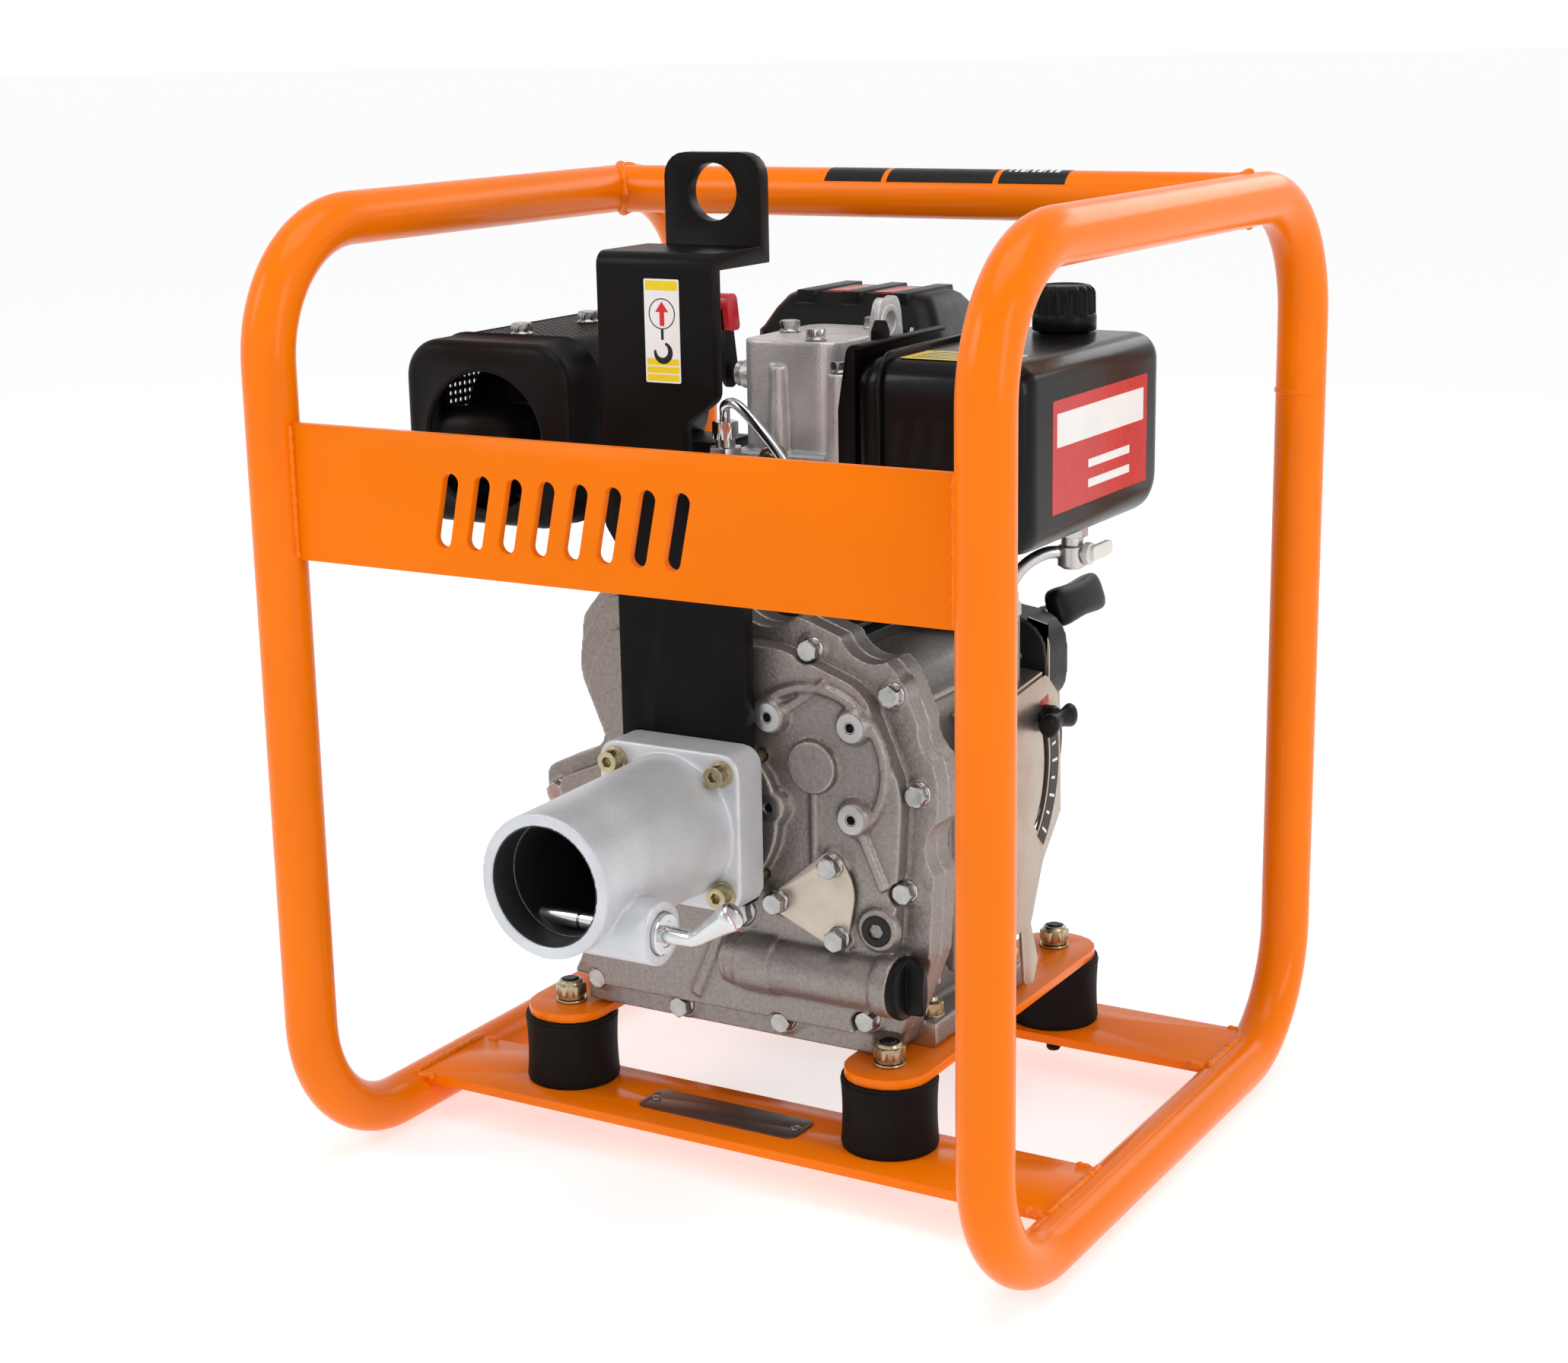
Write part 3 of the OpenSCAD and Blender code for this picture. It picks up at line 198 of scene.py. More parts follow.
material("red_rubber", (0.50, 0.008, 0.018), 0.30, vary=0.1, grain=(1.2, 0.08), coat=0.2)
material("white_nylon", (0.70, 0.70, 0.66), 0.35, vary=0.05, grain=(1.2, 0.08))
material("rope", (0.62, 0.62, 0.59), 0.8, vary=0.3, grain=(0.8, 0.9), patch=600)
material("cast_iron", (0.07, 0.07, 0.07), 0.5, metallic=0.6, vary=0.2, grain=(1.0, 0.4))
material("label_white", (0.78, 0.78, 0.76), 0.30, vary=0.03, coat=0.1, gloss=0.3)
material("label_yellow", (0.78, 0.58, 0.005), 0.30, vary=0.04, coat=0.1, gloss=0.3)
material("label_red", (0.52, 0.018, 0.018), 0.28, vary=0.06, coat=0.1, gloss=0.3)
material("label_black", (0.006, 0.006, 0.006), 0.30, vary=0.1, gloss=0.3)
material("label_arrow", (0.62, 0.015, 0.025), 0.30, vary=0.05, gloss=0.3)
material("purple_plastic", (0.10, 0.035, 0.26), 0.35, vary=0.1, grain=(0.8, 0.1))

# ---- mesh helpers ----

def turns(n):
    """n angles round the whole circle."""
    return [2 * pi * i / n for i in range(n)]


def frame_of(axis):
    """Two unit vectors at right angles to axis."""
    axis = axis.normalized()
    side = Vector((0, 0, 1)) if abs(axis.z) < 0.9 else Vector((1, 0, 0))
    u = side.cross(axis).normalized()
    return u, axis.cross(u)


def rings(bm, loops, closed=False):
    """Skins a list of equally long vertex loops, closed into a ring or with a cap at each end."""
    made = [[bm.verts.new(p) for p in loop] for loop in loops]
    n = len(made[0])
    pairs = list(zip(made, made[1:]))
    if closed:
        pairs.append((made[-1], made[0]))
    for a, b in pairs:
        for i in range(n):
            bm.faces.new((a[i], a[(i + 1) % n], b[(i + 1) % n], b[i]))
    if not closed:
        bm.faces.new(list(reversed(made[0])))
        bm.faces.new(made[-1])


def lathe(bm, origin, axis, profile, seg=48, closed=False):
    """Revolves (distance along axis, radius) points in mm about the axis through origin."""
    u, v = frame_of(axis)
    axis = axis.normalized()
    loops = []
    for along, radius in profile:
        loops.append([origin + axis * along * MM
                      + (u * cos(t) + v * sin(t)) * max(radius, 0.02) * MM
                      for t in turns(seg)])
    rings(bm, loops, closed=closed)


def turned(*shape):
    """A new bmesh holding one lathe shape."""
    bm = bmesh.new()
    lathe(bm, *shape)
    return bm


def tube(bm, path, radius, seg=16):
    """Tube of radius (mm, or one per point) along a path of points in metres."""
    n = len(path)
    radii = radius if isinstance(radius, list) else [radius] * n
    loops, u = [], None
    for i, p in enumerate(path):
        t = (path[min(i + 1, n - 1)] - path[max(i - 1, 0)]).normalized()
        u = frame_of(t)[0] if u is None else (u - t * u.dot(t)).normalized()
        w = t.cross(u)
        loops.append([p + (u * cos(a) + w * sin(a)) * radii[i] * MM
                      for a in turns(seg)])
    rings(bm, loops)


def smooth_path(points, steps=8):
    """Catmull-Rom curve through points."""
    out = []
    for i in range(len(points) - 1):
        p0, p1 = points[max(i - 1, 0)], points[i]
        p2, p3 = points[i + 1], points[min(i + 2, len(points) - 1)]
        for k in range(steps):
            t = k / steps
            out.append(0.5 * ((2 * p1) + (p2 - p0) * t + (2 * p0 - 5 * p1 + 4 * p2 - p3) * t * t
                              + (3 * p1 - p0 - 3 * p2 + p3) * t * t * t))
    return out + [points[-1]]


def filleted(corners, steps=6):
    """Closed outline from (a, b, radius) corners."""
    out = []
    n = len(corners)
    for i, (a, b, r) in enumerate(corners):
        p = Vector((a, b))
        if r <= 0:
            out.append(p)
            continue
        u = (Vector(corners[i - 1][:2]) - p).normalized()
        v = (Vector(corners[(i + 1) % n][:2]) - p).normalized()
        half = acos(max(-1, min(1, u.dot(v)))) / 2
        m = p + (u + v).normalized() * r / sin(half)
        e0, e1 = p + u * r / tan(half) - m, p + v * r / tan(half) - m
        turn = pi - 2 * half
        out += [m + (e0 * sin(turn * (1 - k / steps)) + e1 * sin(turn * k / steps)) / sin(turn)
                for k in range(steps + 1)]
    return out


def rectangle(a0, a1, b0, b1, r=0.0):
    """The corners that filleted() takes, of a rectangle with corner radius r."""
    return [(a0, b0, r), (a1, b0, r), (a1, b1, r), (a0, b1, r)]


PLANES = {"x": lambda a, b, c: at(c, a, b),
          "y": lambda a, b, c: at(a, c, b),
          "z": lambda a, b, c: at(a, b, c)}


def prism(bm, outline, axis, lo, hi):
    """Outline of (a, b) points in mm, extruded along axis from lo to hi."""
    place = PLANES[axis]
    rings(bm, [[place(p[0], p[1], c) for p in outline] for c in (lo, hi)])


def box_bm(bm, lo, hi):
    """Box between two corners in mm."""
    prism(bm, filleted(rectangle(lo[0], hi[0], lo[1], hi[1])), "z", lo[2], hi[2])


def piece(name, bm, look, replaces=(), slot=None, body="frame", bevel=0.0, seg=3, sub=0, angle=38,
          voxel=0.0, relax=0):
    """Turns a bmesh into a finished piece on a body. bevel and voxel are in mm,
    and slot is not used."""
    bmesh.ops.recalc_face_normals(bm, faces=bm.faces)
    me = bpy.data.meshes.new(name)
    bm.to_mesh(me)
    bm.free()
    ob = bpy.data.objects.new(name, me)
    bpy.context.scene.collection.objects.link(ob)
    if voxel:
        r = ob.modifiers.new("cast", "REMESH")
        r.mode, r.voxel_size = "VOXEL", voxel * MM
        if relax:
            s = ob.modifiers.new("relax", "SMOOTH")
            s.factor, s.iterations = 0.5, relax
    if bevel:
        b = ob.modifiers.new("bevel", "BEVEL")
        b.width, b.segments, b.limit_method = bevel * MM, seg, "ANGLE"
        b.angle_limit = radians(30)
        b.use_clamp_overlap = True
    if sub:
        s = ob.modifiers.new("sub", "SUBSURF")
        s.levels = s.render_levels = sub
    if ob.modifiers:
        graph = bpy.context.evaluated_depsgraph_get()
        done = bpy.data.meshes.new_from_object(ob.evaluated_get(graph))
        ob.modifiers.clear()
        ob.data = done
    ob.data.name = name
    ob.data.shade_smooth()
    if not voxel:
        ob.data.set_sharp_from_angle(angle=radians(angle))
    ob.data.materials.clear()
    ob.data.materials.append(M[look])
    if body:
        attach(ob, body)
    if replaces:
        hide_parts(*replaces)
    return ob


def from_cad(node):
    """A bmesh holding a node's CAD solid, with its vertices joined."""
    bm = bmesh.new()
    bm.from_mesh(frame["nodes"][node].data)
    bmesh.ops.remove_doubles(bm, verts=bm.verts, dist=2e-6)
    return bm


def plate(name, node, look, **more):
    """Piece with a node's own CAD shape, its flat faces merged so that its edges can be rounded."""
    bm = from_cad(node)
    bmesh.ops.dissolve_limit(bm, angle_limit=radians(0.4), verts=bm.verts, edges=bm.edges)
    return piece(name, bm, look, [node], **more)


def clear(bm, cutter):
    """Cuts one closed bmesh out of another."""
    obs = []
    for b in (bm, cutter):
        bmesh.ops.recalc_face_normals(b, faces=b.faces)
        me = bpy.data.meshes.new("cut")
        b.to_mesh(me)
        b.free()
        ob = bpy.data.objects.new("cut", me)
        bpy.context.scene.collection.objects.link(ob)
        obs.append(ob)
    mod = obs[0].modifiers.new("cut", "BOOLEAN")
    mod.operation, mod.object, mod.solver = "DIFFERENCE", obs[1], "EXACT"
    mod.use_self = True
    graph = bpy.context.evaluated_depsgraph_get()
    out = bmesh.new()
    out.from_mesh(bpy.data.meshes.new_from_object(obs[0].evaluated_get(graph)))
    for ob in obs:
        bpy.data.objects.remove(ob)
    return out


# Where a CAD shape itself is shown, it has the look of its own material
LOOKS = {entry["node"]: entry["material_slot"] for entry in frame["record"]["subparts"]}
for name, ob in frame["nodes"].items():
    ob.data.materials.clear()
    ob.data.materials.append(M[LOOKS[name]])

# Directions: the coupling is at the front, and the fuel tank at the right
UP, BACK, FRONT, RIGHT = (Vector(v) for v in ((0, 0, 1), (0, 1, 0), (0, -1, 0), (1, 0, 0)))

# ---- frame tubes, panel and bars ----

for name in ("left_hoop", "right_hoop", "rear_cross_tube"):
    frame["nodes"][name].data.shade_smooth()

# Radius of the frame's tube, how far the hoops' centre lines are from the middle, and the rear cross tube
TUBE_R = 16.0
HOOP = 232.0
CROSS_Y, TOP_Z = 139.0, 584.0


def weld(name, paths, radius=3.0):
    """Weld beads: tubes along paths whose radius ripples like laid metal."""
    bm = bmesh.new()
    for path in paths:
        radii = []
        for i, p in enumerate(path):
            ripple = 0.16 * sin(i * 1.9) + 0.35 * noise.noise(p * 300)
            radii.append(radius * (1 + ripple) * (0.55 if i in (0, len(path) - 1) else 1))
        tube(bm, path, radii, seg=12)
    return piece(name, bm, "weld")


def circle_x(x, y, z, r, n=40):
    """Circle round a tube that runs along X, leaning back round the hoop's own curve."""
    out = []
    for i in range(n + 1):
        t = radians(360 * i / n)
        dy, dz = r * cos(t), r * sin(t)
        sag = TUBE_R - sqrt(max(0, TUBE_R ** 2 - dz ** 2))
        out.append(at(x + copysign(sag, x), y + dy, z + dz))
    return out


weld("cross_tube_welds", [circle_x(s * (HOOP - TUBE_R), CROSS_Y, TOP_Z, TUBE_R - 0.4) for s in (-1, 1)])

panel_z0, panel_z1 = (corner.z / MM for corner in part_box("front_panel"))
panel_paths = []
for s in (-1, 1):
    for face in (-1, 1):
        x = s * (HOOP - sqrt(TUBE_R ** 2 - 3.2 ** 2))
        panel_paths.append([at(x, -HOOP + face * 3.0, panel_z0 + 1 + (panel_z1 - panel_z0 - 2) * i / 40)
                            for i in range(41)])
weld("panel_welds", panel_paths, 2.0)

plate("front_panel_plate", "front_panel", "panel_paint", bevel=0.6)
bar_paths = []
for node in ("front_base_bar", "rear_base_bar"):
    plate(node + "_plate", node, "orange_paint", bevel=0.7)
    lo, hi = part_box(node)
    y0, y1 = (lo.y - SHIFT_Y) / MM, (hi.y - SHIFT_Y) / MM
    for s in (-1, 1):
        x = s * (HOOP - 5.5)
        bar_paths.append([at(x, y0 - 2 + (y1 - y0 + 4) * i / 34, 30.8) for i in range(35)])
        for y in (y0, y1):
            bar_paths.append([at(x - s * 14 * i / 8, y, 28 + 0.3 * i) for i in range(9)])
weld("base_bar_welds", bar_paths, 2.4)

for side in ("left", "right"):
    plate(side + "_rail_plate", side + "_engine_rail", "orange_paint", bevel=1.0)

# Factory seam of the tube on the right rear leg
piece("tube_joint_ring", turned(at(HOOP - 0.4, HOOP - 0.4, 455), UP,
                                [(0, 15.8), (0.6, 16.35), (2.6, 16.35), (3.2, 15.8)], 48), "orange_paint")

# ---- identification plate ----
plate("id_plate_sheet", "id_plate", "plate_metal", bevel=0.3)
bm = bmesh.new()
plate_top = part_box("id_plate")[1].z / MM
for x in (-62, 40):
    lathe(bm, at(x, -104, plate_top - 0.05), UP,
          [(-0.9, 1.5), (0, 1.6), (0, 3.1), (0.5, 3.0), (1.0, 2.2), (1.15, 1.3), (0.75, 1.2), (0.6, 0.3)], 32)
piece("id_plate_pop_rivets", bm, "bright_zinc", ["id_plate_rivets"])

# ---- rubber mounts and their fasteners ----
MOUNTS = []
for name in ("front_left", "rear_left", "front_right", "rear_right"):
    node = name + "_rubber_mount"
    lo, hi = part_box(node)
    base = Vector(((lo.x + hi.x) / 2, (lo.y + hi.y) / 2, lo.z))
    MOUNTS.append(base)
    r, h = (hi.x - lo.x) / 2 / MM, (hi.z - lo.z) / MM
    profile = [(0, 5.1), (0, r - 1.2), (0.3, r - 0.6), (2.2, r - 0.6), (2.4, r - 0.2)]
    for i in range(13):
        t = i / 12
        profile.append((2.6 + (h - 5.2) * t, r - 0.05 - sin(pi * t) ** 0.8))
    profile += [(h - 2.4, r - 0.2), (h - 2.2, r - 0.6), (h - 0.3, r - 0.6), (h, r - 1.2), (h, 5.1)]
    piece(node + "_body", turned(base, UP, profile, 64, True), "rubber", [node])


def hexagon(bm, origin, axis, flats_mm, z0, z1, spin=0.0, hole=0.0):
    """Hexagon head or nut between z0 and z1 along axis, with both ends' corners turned off."""
    u, v = frame_of(axis)
    axis = axis.normalized()
    corner = flats_mm / 2 / cos(pi / 6)

    def ring(along, radius_of):
        pts = []
        for i in range(48):
            t = 2 * pi * i / 48
            r = radius_of(flats_mm / 2 / cos((t % (pi / 3)) - pi / 6))
            away = u * cos(t + spin) + v * sin(t + spin)
            pts.append(origin + axis * along * MM + away * r * MM)
        return pts
    turned_r = flats_mm / 2 * 0.97
    drop = (corner - turned_r) * 0.5
    dish = 0.12
    loops = [ring(z0, lambda f: min(f, turned_r + 0.4)), ring(z0 + drop * 0.5, lambda f: f),
             ring(z1 - drop, lambda f: f), ring(z1 - drop * 0.45, lambda f: min(f, (corner + turned_r) / 2)),
             ring(z1, lambda f: min(f, turned_r))]
    if hole:
        loops += [ring(z1, lambda f: hole), ring(z0, lambda f: hole)]
        rings(bm, loops, closed=True)
    else:
        loops += [ring(z1 - dish, lambda f: turned_r * 0.8), ring(z1 - dish, lambda f: 0.02)]
        rings(bm, loops)


def thread(bm, origin, axis, z0, z1, r, pitch=1.5):
    """Threaded stud: ridges along the shank and a turned-off end."""
    profile = [(z0, 0.02), (z0, r - 1.0), (z0 + 1.0, r - 0.3)]
    turns = int((z1 - z0 - 2.2) / pitch)
    for i in range(turns):
        z = z0 + 1.2 + i * pitch
        profile += [(z, r - 0.75), (z + pitch * 0.4, r - 0.02), (z + pitch * 0.6, r - 0.02)]
    profile += [(z1 - 1.0, r - 0.3), (z1, r - 1.0), (z1, 0.02)]
    lathe(bm, origin, axis, profile, 32)


studs, flat_washers, nuts, rings_nylon = (bmesh.new() for _ in range(4))
FOOT_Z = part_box("left_engine_rail")[1].z / MM
for base in MOUNTS:
    on_rail = Vector((base.x, base.y, FOOT_Z * MM))
    thread(studs, base, UP, -24, -5.7, 5)
    lathe(studs, base, UP, [(-6, 4.9), (11.8, 4.9)], 32)
    thread(studs, on_rail, UP, 8, 15.5, 5)
    lathe(studs, on_rail, UP, [(-18, 4.9), (8.2, 4.9)], 32)
    lathe(flat_washers, on_rail, UP,
          [(0.02, 5.3), (0.02, 9.8), (0.3, 10), (1.7, 10), (2, 9.8), (2, 5.3)], 48, True)
    # spring washer: one turn with a gap, its ends a little apart
    loops = []
    for i in range(45):
        t = radians(20 + 330 * i / 44)
        rise = 2.05 + 0.5 * i / 44
        c = Vector((cos(t), sin(t), 0))
        loops.append([on_rail + c * r * MM + UP * (rise + dz) * MM
                      for r, dz in ((5.35, 0), (8.6, 0), (8.6, 1.9), (5.35, 1.9))])
    rings(flat_washers, loops)
    hexagon(nuts, on_rail, UP, 17, 4.5, 12.0, hole=5.05)
    lathe(nuts, on_rail, UP, [(11.6, 7.9), (13.4, 7.6), (14.2, 7.1), (14.5, 6.4), (14.5, 5.9), (13.6, 5.9),
                              (13.6, 5.05), (11.6, 5.05)], 40, True)
    lathe(rings_nylon, on_rail, UP, [(13.62, 5.06), (14.3, 5.06), (14.3, 5.8), (13.62, 5.8)], 40, True)
piece("stud_bolts", studs, "dark_steel", ["mount_studs"])
piece("plain_and_spring_washers", flat_washers, "yellow_zinc", ["mount_washers"])
piece("locking_nuts", nuts, "yellow_zinc", ["mount_nuts"])
piece("locking_nut_rings", rings_nylon, "black_plastic")

bm = bmesh.new()
for x, y in ((104, -45), (104, 62), (-133, -45), (-133, 62)):
    base = at(x, y, FOOT_Z)
    thread(bm, base, UP, -15.8, -5.8, 4, 1.25)
    lathe(bm, base, UP, [(-6, 3.9), (24.5, 3.9)], 32)
    thread(bm, base, UP, 24, 28, 4, 1.25)
    hexagon(bm, base, UP, 13, 17.6, 24.8)
    hexagon(bm, base, -UP, 13, 6.1, 12.4)
    lathe(bm, base, UP,
          [(16.02, 4.1), (16.02, 7.9), (16.3, 8), (17.4, 8), (17.6, 7.8), (17.6, 4.1)], 40, True)
piece("foot_bolts_and_nuts", bm, "yellow_zinc", ["foot_bolts"])

# ---- lifting bracket ----
plate("lifting_bracket_plate", "lifting_bracket", "black_paint", bevel=1.3)

# The bracket's front face, and the two sides of what is printed on its label
BRACKET_Y = -121.0
PRINT_Y0, PRINT_Y1 = BRACKET_Y - 0.12, BRACKET_Y - 0.2


def label(name, x0, x1, z0, z1, y, look, slot=None, axis="y", r=1.0, thick=0.12):
    """Thin sticker whose face lies towards -Y (axis y) or +X (axis x, where x0, x1 are Y values)."""
    bm = bmesh.new()
    lo, hi = (y - thick, y) if axis == "y" else (y, y + thick)
    prism(bm, filleted(rectangle(x0, x1, z0, z1, r), 3), axis, lo, hi)
    return piece(name, bm, look, slot=slot)


label("bracket_label", -42, -18, 491, 551, BRACKET_Y, "label_white")
label("bracket_label_head", -41, -19, 544.5, 550, PRINT_Y0, "label_yellow", "black_plastic", r=0.4,
      thick=0.06)
for i in range(3):
    label("bracket_label_foot_%d" % i, -41, -19, 492 + 4.6 * i, 495.8 + 4.6 * i, PRINT_Y0, "label_yellow",
          "black_plastic", r=0.4, thick=0.06)
bm = bmesh.new()
ring = [(9 * cos(t), 9 * sin(t)) for t in turns(40)]
rings(bm, [[at(-30 + a * k, y, 531 + b * k) for a, b in ring]
           for k, y in ((1, PRINT_Y0), (1, PRINT_Y1), (0.93, PRINT_Y1), (0.93, PRINT_Y0))], closed=True)
piece("bracket_label_ring", bm, "label_black")
bm = bmesh.new()
prism(bm, [(-31.6, 524), (-28.4, 524), (-28.4, 532), (-25.5, 532), (-30, 538), (-34.5, 532), (-31.6, 532)],
      "y", PRINT_Y1, PRINT_Y0)
piece("bracket_label_arrow", bm, "label_arrow")
bm = bmesh.new()
hook = [at(-30 + 5.2 * sin(t), PRINT_Y1, 509 - 5.2 * cos(t))
        for t in (radians(a) for a in range(-100, 161, 10))]
tube(bm, [at(-30, PRINT_Y1, 522), at(-30, PRINT_Y1, 516)], 0.9, 8)
tube(bm, hook, [0.7 + 1.2 * sin(pi * i / (len(hook) - 1)) for i in range(len(hook))], 8)
bmesh.ops.scale(bm, vec=(1, 0.08, 1), space=Matrix.Translation(-at(0, PRINT_Y1, 0)), verts=bm.verts)
piece("bracket_label_hook", bm, "label_black")

# ---- coupling ----
# The crankshaft's axis, and the front faces of the coupling, its flange, the gear cover and the cover's
# bolt lugs and pads
CRANK_X, CRANK_Z = -17.0, 231.0
RING_Y, FLANGE_Y, COVER_Y, LUG_Y, PAD_Y = -278.0, -149.0, -103.0, -90.0, -111.0

piece("coupling_casting", from_cad("coupling_housing"), "silver_paint", ["coupling_housing"], voxel=1.1,
      relax=3)
axle = at(CRANK_X, 0, CRANK_Z)
# Dark sleeve just inside the bore: the unpainted metal's tone, darkened further by painted shade inside the
# hole
piece("coupling_bore_unpainted_metal_and_painted_shade",
      turned(axle, BACK, [(RING_Y + 0.6, 34.95), (RING_Y + 0.6, 34.45), (RING_Y + 19.8, 34.45),
                          (RING_Y + 19.8, 33.45), (FLANGE_Y + 20, 33.45), (FLANGE_Y + 20, 33.95),
                          (RING_Y + 20.05, 33.95), (RING_Y + 20.05, 34.95)], 96, True),
      "bore", slot="silver_paint")
piece("coupling_machined_rim",
      turned(axle, BACK, [(RING_Y - 0.03, 35.9), (RING_Y - 0.03, 40.4), (RING_Y + 0.2, 40.4),
                          (RING_Y + 0.2, 35.9)], 96, True), "silver_paint")
plate("socket_screws", "coupling_screws", "yellow_zinc", bevel=0.45)

LOCK = at(0, RING_Y + 30, CRANK_Z - 27)
bm = bmesh.new()
lathe(bm, LOCK, RIGHT, [(37.4, 5.9), (37.4, 11.5), (37.8, 12), (43.2, 12), (43.9, 11.3), (43.9, 7.6),
                        (43.2, 7.2), (43.2, 5.2), (45, 4.9), (54, 4.6)], 48)
heading = Vector((sin(radians(55)), 0, cos(radians(55))))
elbow = LOCK + RIGHT * 62 * MM
path = [LOCK + RIGHT * 53 * MM, LOCK + RIGHT * 57 * MM, elbow + RIGHT * -1.5 * MM + heading * 0.7 * MM]
path += [elbow + heading * s * MM for s in (4, 7.5, 11, 15, 19.5, 23, 26.5, 29.5, 32, 33.4, 34.2)]
tube(bm, smooth_path(path, 4),
     [4.6] * 9 + [4.6 + 3.6 * min(1, i / 28) ** 1.3 for i in range(31)]
     + [8.2, 8.1, 7.9, 7.5, 7.0, 6.3, 5.4, 4.4, 3.6, 2.8, 2.0, 1.2, 0.5], 32)
lathe(bm, LOCK, RIGHT, [(-39, 5.4), (-38.4, 5.95), (-13, 5.95), (-12.6, 4.4), (-11.4, 4.4), (-11, 5.95),
                        (-2, 5.95), (37.6, 5.95)], 40)
piece("lock_lever_handle", bm, "chrome", ["lock_lever"], body="lock_lever")

# ---- castings ----
COVER_BOLTS = [(50, 334), (104, 312), (121, 254), (112, 193), (86, 108), (27, 97), (-47, 94),
               (-108, 103), (-132, 160), (-135, 223), (-66, 338), (-20, 340)]
COVER_MIDDLE = Vector((-9, 216))
PLATE_BOLTS = [(70, 207), (32, 179), (74, 162)]
# The camshaft's axis, and the four round bosses about it
CAM = (57, 266)
FACE_BOSSES = [(CAM[0] + sx * 28, CAM[1] + sz * 28) for sx in (-1, 1) for sz in (-1, 1)]

# The muffler in its cap and guard: the sides of its outline, their middle, its two ends, the depth of the cap
# and the bolts of the guard
MX, MZ = (-215.0, -95.0), (398.0, 510.0)
MC = (-155.0, 454.0)
M_FRONT, M_REAR, CAP_DEPTH = -130.0, 62.0, 36.0
GUARD_BOLTS = [(-157, -84), (-157, -12)]


def arc_rib(bm, c, r, t0, t1, y0, y1, width, steps=18):
    """Curved rib on the cover's face, along an arc about c."""
    loops = []
    for i in range(steps + 1):
        t = radians(t0 + (t1 - t0) * i / steps)
        a, b = cos(t), sin(t)
        loops.append([at(c[0] + a * (r + dr), y, c[1] + b * (r + dr))
                      for dr, y in ((-width, y1), (-width * 0.5, y0), (width * 0.5, y0), (width, y1))])
    rings(bm, loops)


def bar_rib(bm, a, b, y0, y1, width):
    """Straight rib on the cover's face between two (x, z) points."""
    a, b = Vector(a), Vector(b)
    side = (b - a).orthogonal().normalized() * width
    rings(bm, [[at(p.x + side.x * k, y, p.y + side.y * k)
                for k, y in ((-1, y1), (-0.45, y0), (0.45, y0), (1, y1))] for p in (a, b)])


def scallops():
    """Rods that cut both castings between their bolts, where the joint's flange is drawn in."""
    cut = bmesh.new()
    for (x0, z0), (x1, z1) in zip(COVER_BOLTS, COVER_BOLTS[1:] + COVER_BOLTS[:1]):
        a, b = Vector((x0, z0)), Vector((x1, z1))
        away = (b - a).orthogonal().normalized()
        mid = (a + b) / 2
        if away.dot(mid - COVER_MIDDLE) < 0:
            away = -away
        reach = max(16.0, (b - a).length / 2 - 7)
        c = mid + away * (reach + 7.5)
        if (b - a).length < 80 and mid.y > 130:
            lathe(cut, at(c.x, LUG_Y - 2, c.y), BACK, [(0, reach), (34, reach)], 40)
    return cut


bm = clear(from_cad("gear_cover"), scallops())
for x, z in COVER_BOLTS:
    lathe(bm, at(x, LUG_Y - 1.6, z), BACK, [(0, 8.8), (15.4, 10.6)], 32)
for x, z in PLATE_BOLTS:
    lathe(bm, at(x, COVER_Y - 2, z), BACK, [(0, 8.5), (6, 11)], 32)
for x, z in FACE_BOSSES:
    lathe(bm, at(x, PAD_Y, z), BACK, [(0, 9.3), (0, 3.4), (8.4, 3.4), (8.4, 12.5)], 32, True)
lathe(bm, at(CAM[0], PAD_Y + 2.5, CAM[1]), BACK, [(0, 12.5), (0.6, 14.2), (5, 15), (6, 17.5)], 48)
arc_rib(bm, CAM, 48, -55, 150, COVER_Y - 4.5, COVER_Y + 0.5, 4)
arc_rib(bm, (CRANK_X, CRANK_Z), 66, 128, 250, COVER_Y - 3.5, COVER_Y + 0.5, 4)
bar_rib(bm, (57, 250), (57, 205), COVER_Y - 3, COVER_Y + 0.5, 4)
bar_rib(bm, (86, 236), (104, 196), COVER_Y - 5, COVER_Y + 0.5, 4)
bar_rib(bm, (-4, 168), (-30, 108), COVER_Y - 3, COVER_Y + 0.5, 5)
bar_rib(bm, (40, 300), (66, 318), COVER_Y - 3, COVER_Y + 0.5, 4)
lathe(bm, at(100, COVER_Y - 5, 171), BACK, [(0, 12.5), (6, 14.5)], 40)
lathe(bm, at(4, COVER_Y - 1, 168), BACK, [(0, 12.5), (2, 14)], 40)
lathe(bm, at(-10, LUG_Y, 98), BACK, [(0, 13), (14, 14)], 32)
lathe(bm, at(60, LUG_Y, 103), BACK, [(0, 11), (14, 12)], 32)
OIL = at(0, -102, 136)
for x0, x1, r, bore in ((6, 30, 18.5, 11), (100, 112, 19.2, 11), (-6, 10, 16, 3)):
    lathe(bm, OIL, RIGHT, [(x0, bore), (x0, r - 0.8), (x0 + 2, r), (x1, r), (x1, bore)], 40, True)
piece("gear_cover_casting", bm, "cast_aluminium", ["gear_cover"], voxel=1.25, relax=3)
bm = bmesh.new()
for x, z in FACE_BOSSES:
    lathe(bm, at(x, PAD_Y - 0.12, z), BACK, [(0, 3.7), (0, 8.6), (0.4, 8.6), (0.4, 3.7)], 40, True)
    lathe(bm, at(x, PAD_Y, z), BACK, [(0.2, 3.35), (14, 3.35), (14, 2.9), (0.2, 2.9)], 24, True)
piece("boss_faces", bm, "machined_steel")

